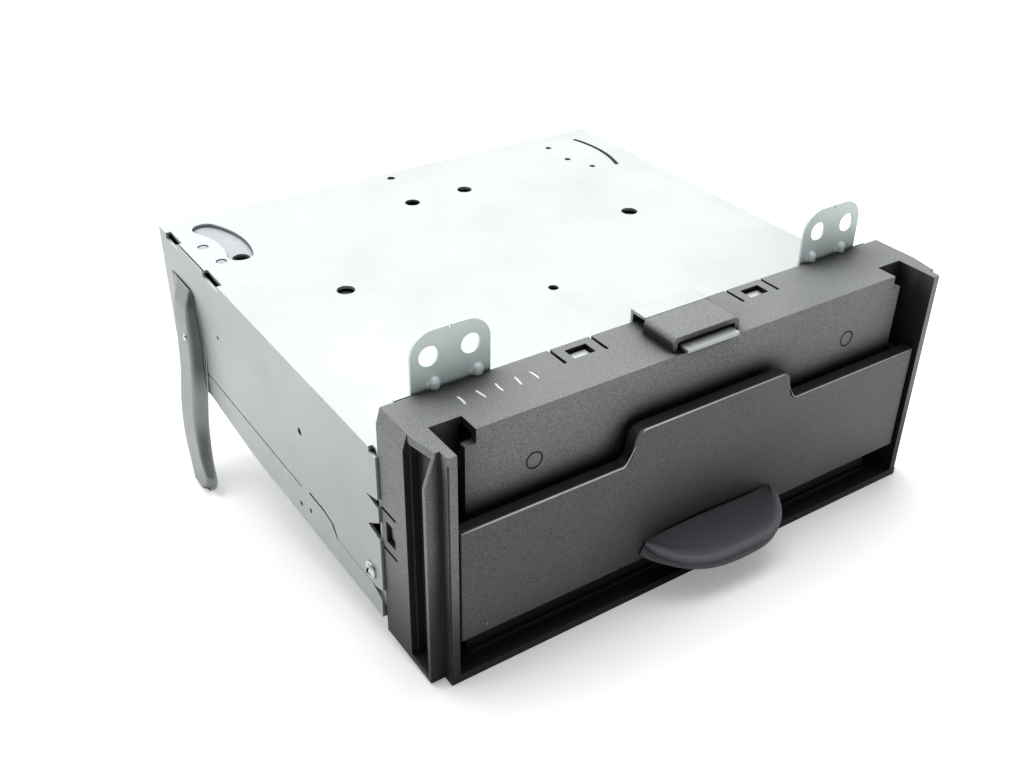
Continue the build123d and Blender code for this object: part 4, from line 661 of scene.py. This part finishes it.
# %% [markdown]
# The grip is a tongue under the middle of the shutter. It starts high on the
# shutter's face and falls towards the hand, and its edge is a rolled bead with a
# groove below it and a low wall that flares out at the left. A single extrusion
# can't give that. Here it is lofted between three curves: the root on the shutter,
# the top of the bead and the foot of the wall. They are typed as points in mm, and
# a smooth curve runs through them.

# %% The grip's three curves
ROOT = [(-21.9, 1.25, 19.5), (-21.3, 1.25, 19.8), (-20.2, 1.25, 20.0), (-17.4, 1.25, 20.5),
        (-13.4, 1.25, 21.0), (-8.0, 1.25, 21.3), (-1.6, 1.25, 21.4), (5.2, 1.25, 21.2),
        (11.8, 1.25, 20.9), (16.6, 1.25, 20.7), (20.3, 1.25, 20.6), (23.2, 1.25, 20.5),
        (25.2, 1.25, 20.1), (25.9, 1.25, 19.7)]
BEAD = [(-21.9, 0.9, 19.4), (-20.9, -1.0, 19.1), (-19.8, -2.6, 18.7), (-16.7, -6.2, 17.8),
        (-12.9, -9.0, 17.1), (-7.6, -10.9, 16.6), (-1.4, -11.7, 16.4), (5.5, -11.8, 16.4),
        (12.2, -11.7, 16.4), (17.1, -10.7, 16.7), (20.9, -8.5, 17.2), (23.9, -5.1, 18.1),
        (25.6, -1.8, 19.0), (25.9, 0.9, 19.6)]
WALL = [(-23.8, 0.9, 15.0), (-22.4, -1.2, 14.4), (-20.6, -3.2, 13.8), (-15.8, -7.3, 12.6),
        (-11.7, -9.8, 11.9), (-6.4, -11.7, 11.3), (0.0, -12.7, 11.0), (7.4, -12.9, 11.0),
        (13.8, -12.4, 11.1), (18.4, -10.9, 11.5), (22.2, -8.7, 12.2), (25.0, -5.3, 13.3),
        (26.5, -1.9, 14.4), (26.9, 0.9, 15.2)]


def on_curve(points, t):
    """The point at t, from 0 to 1, of a smooth curve through evenly spaced points."""
    place = t * (len(points) - 1)
    n = min(int(place), len(points) - 2)
    k = place - n
    a, b, c, d = (Vector(points[min(max(m, 0), len(points) - 1)])
                  for m in range(n - 1, n + 3))
    return 0.5 * (2 * b + (c - a) * k + (2 * a - 5 * b + 4 * c - d) * k * k
                  + (3 * b - a - 3 * c + d) * k ** 3)


print("three curves of", len(ROOT), "points")

# %% [markdown]
# One section across the grip, from the root over the sagging top, round the bead, into the
# groove and down the low wall to its foot. Each point also says how much painted sheen it
# gets: a painted highlight, strongest on the crown of the bead, some on the wall and the
# upper top, and none in the groove. Bead and groove fade at both ends, where the tongue
# runs into the shutter.

# %% One section of the grip
BEAD_R, BEAD_FADE = 1.5, 4.0                # mm; the bead is full where the top is longer
GROOVE, TOP_SAG, SHUTTER_FACE = 1.05, 0.45, 1.25
TOP_STEPS = (0, 0.10, 0.24, 0.42, 0.60, 0.76, 0.90, 1.0)
# the second number of each step is its painted sheen
BEAD_STEPS = ((112, 0.45), (80, 0.9), (50, 1.0), (18, 0.6), (-15, 0.2))   # degrees, rubbed
WALL_STEPS = ((0.30, 0.35), (0.62, 0.5), (0.88, 0.45))                    # share, rubbed


def grip_section(t):
    """The section at t, from the left end, 0, to the right, 1: (point, painted sheen)."""
    root, bead, wall = (on_curve(c, t) for c in (ROOT, BEAD, WALL))
    along = on_curve(BEAD, min(1, t + 0.01)) - on_curve(BEAD, max(0, t - 0.01))
    out = Vector((along.y, -along.x, 0)).normalized()
    top_length = max((bead - root).length, 0.01)
    rolled = min(1.0, top_length / BEAD_FADE)
    radius = BEAD_R * (0.35 + 0.65 * rolled)
    groove = GROOVE * rolled * (1 - 0.75 * max(0, t - 0.45) / 0.55)
    top_end = 1 - min(0.8, 1.3 * radius / top_length)
    section = []
    for k in TOP_STEPS:
        sag = -TOP_SAG * rolled * math.sin(math.pi * k ** 1.4)
        section.append((root.lerp(bead, k * top_end) + UP * sag, 0.35 * max(0.0, k - 0.5)))
    centre = bead - UP * radius
    for angle, painted_sheen in BEAD_STEPS:
        a = math.radians(angle)
        crown = centre + out * radius * math.cos(a) + UP * radius * math.sin(a)
        section.append((crown, painted_sheen))
    tucked = centre + out * (0.80 * radius - groove) - UP * radius * 0.72
    section.append((tucked, 0.0))
    for share, painted_sheen in WALL_STEPS:
        bulge = out * 0.3 * math.sin(math.pi * share)
        section.append((tucked.lerp(wall, share) + bulge, painted_sheen))
    section += [(wall - out * 0.25, 0.3), (wall - out * 1.1 - UP * 0.12, 0.0)]
    left_end, right_end = WALL[0][0] + 0.6, WALL[-1][0] - 0.6
    foot_line = Vector((left_end + t * (right_end - left_end), SHUTTER_FACE, wall.z + 0.35))
    section += [(wall.lerp(foot_line, 0.45) + UP * 0.1, 0.0), (foot_line, 0.0)]
    return section


print("a section of", len(grip_section(0.5)), "points")

# %% [markdown]
# The sections are set side by side and joined, one face closes the back, and one
# subdivision rounds what is left. The painted sheen of each point goes into the mesh, where
# the grip's finish reads it.

# %% The grip
RAYS = 72

bm = bmesh.new()
# the painted sheen of each point, kept on the mesh
sheen_layer = bm.verts.layers.float.new("painted_sheen")
columns = []
for n in range(RAYS + 1):
    section = grip_section(n / RAYS)
    columns.append([bm.verts.new(at(*point)) for point, _ in section])
    for vert, (_, painted_sheen) in zip(columns[-1], section):
        vert[sheen_layer] = painted_sheen
for left, right in zip(columns, columns[1:]):
    for a in range(len(left) - 1):
        bm.faces.new((left[a], left[a + 1], right[a + 1], right[a]))
bm.faces.new(columns[-1])
bm.faces.new(columns[0][::-1])
bm.faces.new([c[0] for c in columns] + [c[-1] for c in reversed(columns)])
grip = finish_mesh("moulded_grip", bm, finishes["grip_rubber"], weld=1e-5)
rounding = grip.modifiers.new("rounding", "SUBSURF")
rounding.levels = rounding.render_levels = 1
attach(grip, "shutter")
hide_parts("shutter_grip")
print("grip of", len(grip.data.polygons), "faces")

# %% [markdown]
# Along the shutter's upper edge runs a painted highlight, a thin pale line, straight at the
# shoulders, over a soft step and along the crest. A mask in the material can't be that
# crisp, so the line is a slim pale rod that follows the edge, half sunk in it. It is
# thinner to the right and on the steps, and it moves with the shutter.

# %% The painted highlight line on the shutter
SHOULDER_Z, CREST_Z, SHOULDER_X, CREST_X, DOOR_HALF = 49.2, 59.0, 32.0, 25.0, 82.0
ROD_R, ROD_THINNER, ROD_SUNK, ROD_SIDES = 0.25, 0.11, 0.20, 12
STEP_FROM, STEP_PACE, STEP_COUNT = -34, 0.35, 33            # closer stations on the step


def edge_climb(x):
    """0 on the shoulders, 1 on the crest."""
    return ease(-SHOULDER_X, -CREST_X, -abs(x))


def shutter_edge_z(x):
    """The height of the shutter's upper edge."""
    return SHOULDER_Z + (CREST_Z - SHOULDER_Z) * edge_climb(x)


stations = [-DOOR_HALF, -60, -45]
stations += [STEP_FROM + STEP_PACE * n for n in range(STEP_COUNT)] + [-12, 0]
stations += [-x for x in reversed(stations[:-1])]
bm = bmesh.new()
loops = []
for x in stations:
    climb = edge_climb(x)
    radius = (ROD_R - ROD_THINNER * ease(-26, 20, x)) * (1 - 2.2 * climb * (1 - climb))
    slope = (shutter_edge_z(x + 0.05) - shutter_edge_z(x - 0.05)) / 0.1
    normal = Vector((-slope, 0, 1)).normalized()
    centre = Vector((x, 1.20, shutter_edge_z(x))) - normal * ROD_SUNK
    loops.append([bm.verts.new(at(*(centre + normal * radius * math.sin(a)
                                    - Vector((0, 1, 0)) * radius * math.cos(a))))
                  for a in (math.tau * n / ROD_SIDES for n in range(ROD_SIDES))])
loft(bm, loops)
line = finish_mesh("shutter_edge_highlight", bm, finishes["edge_highlight_paint"])
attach(line, "shutter")
print("pale line over", len(stations), "stations")

# %% [markdown]
# Each ear has two dimples pressed forward out of the sheet, just above the plastic:
# half cylinders with a round top, which catch the light above and are dark below.
# They are rings of half circles that shrink towards the top.

# %% The dimples in the ears
DIMPLE_R, DIMPLE_LOW, DIMPLE_MID, EAR_FACE = 1.6, 74.06, 75.6, 28.55
DIMPLE_AT, DIMPLE_DEEPER, DIMPLE_TIP = (60.2, 73.0), 1.15, 0.03
HALF_STEPS, TOP_RINGS = 18, 9

heights = [(DIMPLE_LOW, 1.0), (74.6, 1.0), (75.1, 1.0)]     # height, share of the radius
heights += [(DIMPLE_MID + DIMPLE_R * math.sin(a), math.cos(a))
            for a in (math.pi / 2 * n / TOP_RINGS for n in range(TOP_RINGS + 1))]
half_turn = [math.pi * n / HALF_STEPS for n in range(HALF_STEPS + 1)]
bm = bmesh.new()
for side in (-1, 1):
    for middle in DIMPLE_AT:
        rings = []
        for z, share in heights:
            wide = DIMPLE_R * max(share, DIMPLE_TIP)
            rings.append([bm.verts.new(at(side * middle + wide * math.cos(b),
                                          EAR_FACE - DIMPLE_DEEPER * wide * math.sin(b), z))
                          for b in half_turn])
        loft(bm, rings)
dimples = finish_mesh("ear_dimples", bm, finishes["ear_steel"], weld=1e-8)
dimples.data.set_sharp_from_angle(angle=math.radians(50))
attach(dimples, "chassis")
print("dimples of", len(dimples.data.polygons), "faces")

# %% [markdown]
# The rear legs are pressed from one strip of steel: flat at the rear edge, raised
# over most of the width and folded back to the plate in a steep wall at the front.
# They bow away from the box towards the foot. A straight loft between a few sections
# shows seams, so the typed values at eight heights are joined by a smooth curve.

# %% The rear legs' values
PLATE_X = 91.1
# height, rear edge, front edge, gap to the plate, height of the ridge
LEG_ROWS = [(47.5, 177.2, 157.0, 0.03, 0.6), (40.0, 177.4, 155.0, 0.03, 3.2),
            (28.0, 177.6, 153.4, 0.03, 4.2), (12.0, 178.6, 155.0, 0.6, 4.2),
            (-3.0, 180.2, 154.5, 2.4, 3.9), (-14.0, 178.0, 149.5, 4.4, 3.2),
            (-22.0, 172.5, 143.0, 6.2, 2.3), (-27.8, 165.0, 150.0, 7.4, 1.5)]


def leg_row(z):
    """The leg's values at a height, with no kink at the typed rows."""
    slopes = []
    for n in range(len(LEG_ROWS)):
        a, b = LEG_ROWS[max(n - 1, 0)], LEG_ROWS[min(n + 1, len(LEG_ROWS) - 1)]
        slopes.append([(v - u) / (b[0] - a[0]) for u, v in zip(a[1:], b[1:])])
    n = next(i for i in range(len(LEG_ROWS) - 1) if z >= LEG_ROWS[i + 1][0])
    (z0, *lower), (z1, *upper_edge_highlight) = LEG_ROWS[n], LEG_ROWS[n + 1]
    h = z1 - z0
    k = (z - z0) / h
    return [(1 + 2 * k) * (1 - k) ** 2 * u + k * (1 - k) ** 2 * h * m
            + k * k * (3 - 2 * k) * v + k * k * (k - 1) * h * w
            for u, v, m, w in zip(lower, upper_edge_highlight, slopes[n], slopes[n + 1])]


print("legs typed at", len(LEG_ROWS), "heights")

# %% [markdown]
# A section runs from the rear edge over the ridge to the front edge, and back inside at the
# sheet's thickness. How deep in the fold each point lies is stored on the mesh for its
# painted shade, which is strongest on the upper part of the leg.

# %% The rear legs
LEG_STEPS, LEG_ACROSS = 72, 36
SHEET, SHEET_LEAST, RISE_END = 0.9, 0.08, 0.36              # mm, mm, share of the width


def leg_section(z):
    """The leg's section at a height: (y, distance from the plate, share of the width)."""
    rear, front, gap, ridge = leg_row(z)
    outer = []
    for n in range(LEG_ACROSS + 1):
        s = n / LEG_ACROSS
        hump = ease(0.0, RISE_END, s) * (1 - ease(0.80, 0.96, s))
        outer.append((rear + (front - rear) * s,
                      gap + SHEET_LEAST + (ridge - SHEET_LEAST) * hump, s))
    inner = []
    for y, out, s in outer[1:-1]:
        inset = SHEET if s < 0.4 else -SHEET if s > 0.9 else 0
        inner.append((y + inset, max(gap, out - min(SHEET, 0.5 * out)), s))
    return outer + inner[::-1]


def fold_light(z, s):
    """1 in the open, less where the folds at both edges get painted shade."""
    fold = ease(0.0, 0.14, s) * (1 - ease(0.80, 0.87, s) * (1 - ease(0.97, 1.0, s)))
    return 1 - (1 - fold) * (0.35 + 0.65 * ease(6.0, 20.0, z))


def rear_leg(name, side, node):
    """The pressed leg of one side, in place of its CAD node."""
    bm = bmesh.new()
    light = bm.verts.layers.float.new("fold")
    rings = []
    for row in range(LEG_STEPS + 1):
        z = LEG_ROWS[0][0] + (LEG_ROWS[-1][0] - LEG_ROWS[0][0]) * row / LEG_STEPS
        ring = []
        for y, out, s in leg_section(z):
            vert = bm.verts.new(at(side * (PLATE_X + out), y, z))
            vert[light] = fold_light(z, s)
            ring.append(vert)
        rings.append(ring)
    loft(bm, rings)
    leg = finish_mesh(name, bm, finishes["leg_steel"], weld=1e-8)
    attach(leg, "chassis")
    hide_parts(node)
    return leg


for side, word in ((-1, "left"), (1, "right")):
    leg = rear_leg(f"pressed_{word}_leg", side, f"{word}_rear_leg")
    print(leg.name, "of", len(leg.data.polygons), "faces")

# %% [markdown]
# Screws and rivets repeat, so one Geometry Nodes tree makes them all, with its sizes
# as named inputs. Each head starts as a cylinder, half of it sunk in the sheet. Every
# point of its cap is lowered by a power of its distance from the middle, which gives
# the low dome of a pressed head.

# %% Geometry Nodes: the domed head
DOME_POWER, DOME_FALL = 2.6, 0.62           # how late the dome falls, and how far

heads = bpy.data.node_groups.new("fastener_heads", "GeometryNodeTree")
sockets = {}
for label, kind, direction in (
        ("Points", "NodeSocketGeometry", "INPUT"), ("Radius", "NodeSocketFloat", "INPUT"),
        ("Height", "NodeSocketFloat", "INPUT"), ("Recess", "NodeSocketFloat", "INPUT"),
        ("Cross", "NodeSocketBool", "INPUT"), ("Facing", "NodeSocketVector", "INPUT"),
        ("Seed", "NodeSocketInt", "INPUT"), ("Finish", "NodeSocketMaterial", "INPUT"),
        ("Heads", "NodeSocketGeometry", "OUTPUT")):
    socket = heads.interface.new_socket(label, in_out=direction, socket_type=kind)
    sockets[label] = socket.identifier
gin, gout = heads.nodes.new("NodeGroupInput"), heads.nodes.new("NodeGroupOutput")
radius, height, recess = (gin.outputs[k] for k in ("Radius", "Height", "Recess"))


def times(a, b):
    """The product of two values of the tree."""
    return value_math(heads, "MULTIPLY", a, b)


blank = add_node(heads, "GeometryNodeMeshCylinder", {
    "Vertices": 40, "Fill Segments": 8, "Radius": radius, "Depth": times(height, 2.0)})
place = add_node(heads, "GeometryNodeInputPosition")
parts = add_node(heads, "ShaderNodeSeparateXYZ", {"Vector": place.outputs[0]})
flat = add_node(heads, "ShaderNodeCombineXYZ", {
    "X": parts.outputs["X"], "Y": parts.outputs["Y"]})
length = add_node(heads, "ShaderNodeVectorMath", {0: flat.outputs[0]}, operation="LENGTH")
outward = value_math(heads, "DIVIDE", length.outputs["Value"], radius)
fall = times(value_math(heads, "POWER", outward, DOME_POWER), times(height, DOME_FALL))
top_only = value_math(heads, "GREATER_THAN", parts.outputs["Z"], 0.0)
drop = add_node(heads, "ShaderNodeCombineXYZ", {"Z": times(times(fall, top_only), -1.0)})
domed = add_node(heads, "GeometryNodeSetPosition", {
    "Geometry": blank.outputs["Mesh"], "Offset": drop.outputs[0]})
print("the domed head takes", len(heads.nodes), "nodes")

# %% [markdown]
# A screw is a dome with a cross for the screwdriver. It could be drawn as a dark mark,
# but a real recess has walls that catch light, so two bars are cut out of the dome.
# A rivet keeps the plain dome: a switch picks one of the two.

# %% Geometry Nodes: the cross
CROSS_LENGTH, CROSS_DEPTH = 1.15, 1.2       # of the head's radius and of its height

bars = []
for wide, narrow in (("X", "Y"), ("Y", "X")):
    size = add_node(heads, "ShaderNodeCombineXYZ", {
        wide: times(radius, CROSS_LENGTH), narrow: recess, "Z": times(height, CROSS_DEPTH)})
    bar = add_node(heads, "GeometryNodeMeshCube", {"Size": size.outputs[0]})
    lift = add_node(heads, "ShaderNodeCombineXYZ", {"Z": height})
    bars.append(add_node(heads, "GeometryNodeTransform", {
        "Geometry": bar.outputs["Mesh"], "Translation": lift.outputs[0]}))
cut = add_node(heads, "GeometryNodeMeshBoolean", {"Mesh 1": domed.outputs[0]},
               operation="DIFFERENCE")
for bar in bars:
    heads.links.new(bar.outputs[0], cut.inputs["Mesh 2"])
head = add_node(heads, "GeometryNodeSwitch", {
    "Switch": gin.outputs["Cross"], "False": domed.outputs[0], "True": cut.outputs["Mesh"],
}, input_type="GEOMETRY")
print("with the cross,", len(heads.nodes), "nodes")

# %% [markdown]
# The head is set on each point of a small mesh, with its axis along the direction
# that the screw faces. A fixed seed gives each its own twist, up to a quarter turn,
# as a real hand leaves them. Copies on points are only instances, so the tree makes
# them real at its end and gives them their finish.

# %% Geometry Nodes: heads on points
facing = add_node(heads, "FunctionNodeAlignRotationToVector", {
    "Vector": gin.outputs["Facing"]}, axis="Z")
twist = add_node(heads, "FunctionNodeRandomValue", {
    3: math.pi / 2, "Seed": gin.outputs["Seed"]}, data_type="FLOAT")
spin = add_node(heads, "FunctionNodeAxisAngleToRotation", {
    "Axis": (0, 0, 1), "Angle": twist.outputs[1]})
turned = add_node(heads, "FunctionNodeRotateRotation", {
    "Rotation": facing.outputs[0], "Rotate By": spin.outputs[0]}, rotation_space="LOCAL")
placed = add_node(heads, "GeometryNodeInstanceOnPoints", {
    "Points": gin.outputs["Points"], "Instance": head.outputs[0],
    "Rotation": turned.outputs[0]})
real = add_node(heads, "GeometryNodeRealizeInstances", {"Geometry": placed.outputs[0]})
done = add_node(heads, "GeometryNodeSetMaterial", {
    "Geometry": real.outputs[0], "Material": gin.outputs["Finish"]})
heads.links.new(done.outputs[0], gout.inputs["Heads"])
print("tree", heads.name, "of", len(heads.nodes), "nodes")

# %% [markdown]
# Heads that face different ways are made in turn and joined, so that each CAD node
# has one piece that stands for it.

# %% From the tree to plain pieces
FIRST_SEED = 7


def set_heads(name, groups, finish, body, stands_for=None):
    """groups: (points, direction, radius, height, width of the cross or 0), in mm."""
    bm = bmesh.new()
    for n, (points, direction, head_r, head_h, recess_w) in enumerate(groups):
        seats = bpy.data.meshes.new("seats")
        seats.from_pydata([at(*point) for point in points], [], [])
        holder = bpy.data.objects.new("seats", seats)
        scene.collection.objects.link(holder)
        live = holder.modifiers.new("heads", "NODES")
        live.node_group = heads
        for label, value in (("Radius", head_r * MM), ("Height", head_h * MM),
                             ("Recess", recess_w * MM), ("Cross", recess_w > 0),
                             ("Facing", tuple(float(v) for v in direction)),
                             ("Seed", FIRST_SEED + n), ("Finish", finishes[finish])):
            live[sockets[label]] = value
        ready = holder.evaluated_get(bpy.context.evaluated_depsgraph_get())
        result = bpy.data.meshes.new_from_object(ready)
        bm.from_mesh(result)
        bpy.data.objects.remove(holder)
        bpy.data.meshes.remove(result)
    piece = finish_mesh(name, bm, finishes[finish])
    piece.data.set_sharp_from_angle(angle=math.radians(32))
    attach(piece, body)
    if stands_for:
        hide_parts(stands_for)
    print(name, "of", len(piece.data.polygons), "faces")


print("set_heads is ready")

# %% [markdown]
# Now the heads go where the CAD has its plain ones: a screw at the front of each side
# plate, four in the rear panel, a rivet in each leg and two in the foot of each ear.
# Two small plastic pins close the holes in the lid beside the curved window.

# %% Heads in their places
BOX_REAR, LID_Z, EAR_FOOT_Y, LEG_OUT = 185.4, 61.0, 34.3, 4.15
SCREW = 2.7, 1.4, 0.75                      # radius, height and width of the cross
REAR_SCREWS = [(-50.0, 52.0), (50.0, 52.0), (-45.0, 16.0), (50.0, 16.0)]
REAR_PLACES = [(x, BOX_REAR, z) for x, z in REAR_SCREWS]
EAR_PLACES = [(side * x, EAR_FOOT_Y, LID_Z + 0.8) for x in (64.0, 76.4) for side in (-1, 1)]
PIN_PLACES = [(-84.3, 161.6, LID_Z - 0.5), (-83.1, 148.4, LID_Z - 0.5)]

set_heads("cross_screws", [([(side * PLATE_X, 33.7, 18.0)], (side, 0, 0), *SCREW)
                           for side in (-1, 1)], "screw_steel", "chassis", "side_screws")
set_heads("rear_cross_screws", [(REAR_PLACES, (0, 1, 0), *SCREW)],
          "screw_steel", "chassis", "rear_screws")
set_heads("leg_rivet_heads", [([(side * (PLATE_X + LEG_OUT), 160.3, 30.3)], (side, 0, 0),
                               1.3, 0.85, 0)
                              for side in (-1, 1)], "bright_steel", "chassis", "leg_rivets")
set_heads("ear_rivet_heads", [(EAR_PLACES, (0, 0, 1), 2.0, 1.0, 0)],
          "screw_steel", "chassis", "ear_rivets")
set_heads("pin_caps", [(PIN_PLACES, (0, 0, 1), 1.6, 0.35, 0)],
          "grey_plastic", "chassis")

# %% [markdown]
# A few short dabs of white paint lie on top of the front. Paint has next to no
# thickness, but a flat face on the plastic would flicker, so each dab is a thin strip
# with round ends and a slightly wandering middle line, half sunk in the plastic.

# %% White paint strokes
STROKE_AT = (-70.5, -64.8, -59.2, -53.6, -48.6)
STROKE_START, STROKE_LENGTH, STROKE_HALF, STROKE_SWAY = 17.1, 4.3, 0.34, 0.22
PAINT_TOP, PAINT_LOW, STROKE_STEPS = 74.03, 73.97, 14


def stroke_outline(n, x):
    """The outline of stroke n at x: up one side and down the other."""
    outline = []
    for side in (-1, 1):
        for k in range(STROKE_STEPS + 1):
            u = k / STROKE_STEPS if side < 0 else 1 - k / STROKE_STEPS
            width = STROKE_HALF * math.sin(math.pi * min(0.5, 0.06 + 2.2 * min(u, 1 - u)))
            sway = STROKE_SWAY * math.sin(3.1 * u + 1.7 * n)
            outline.append((x + sway + side * width, STROKE_START + STROKE_LENGTH * u))
    return outline


bm = bmesh.new()
for n, x in enumerate(STROKE_AT):
    outline = stroke_outline(n, x)
    loft(bm, [[bm.verts.new(at(px, py, z)) for px, py in outline]
              for z in (PAINT_TOP, PAINT_LOW)])
strokes = finish_mesh("paint_strokes", bm, finishes["white_plastic"], smooth=False)
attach(strokes, "chassis")
print("strokes of", len(strokes.data.polygons), "faces")
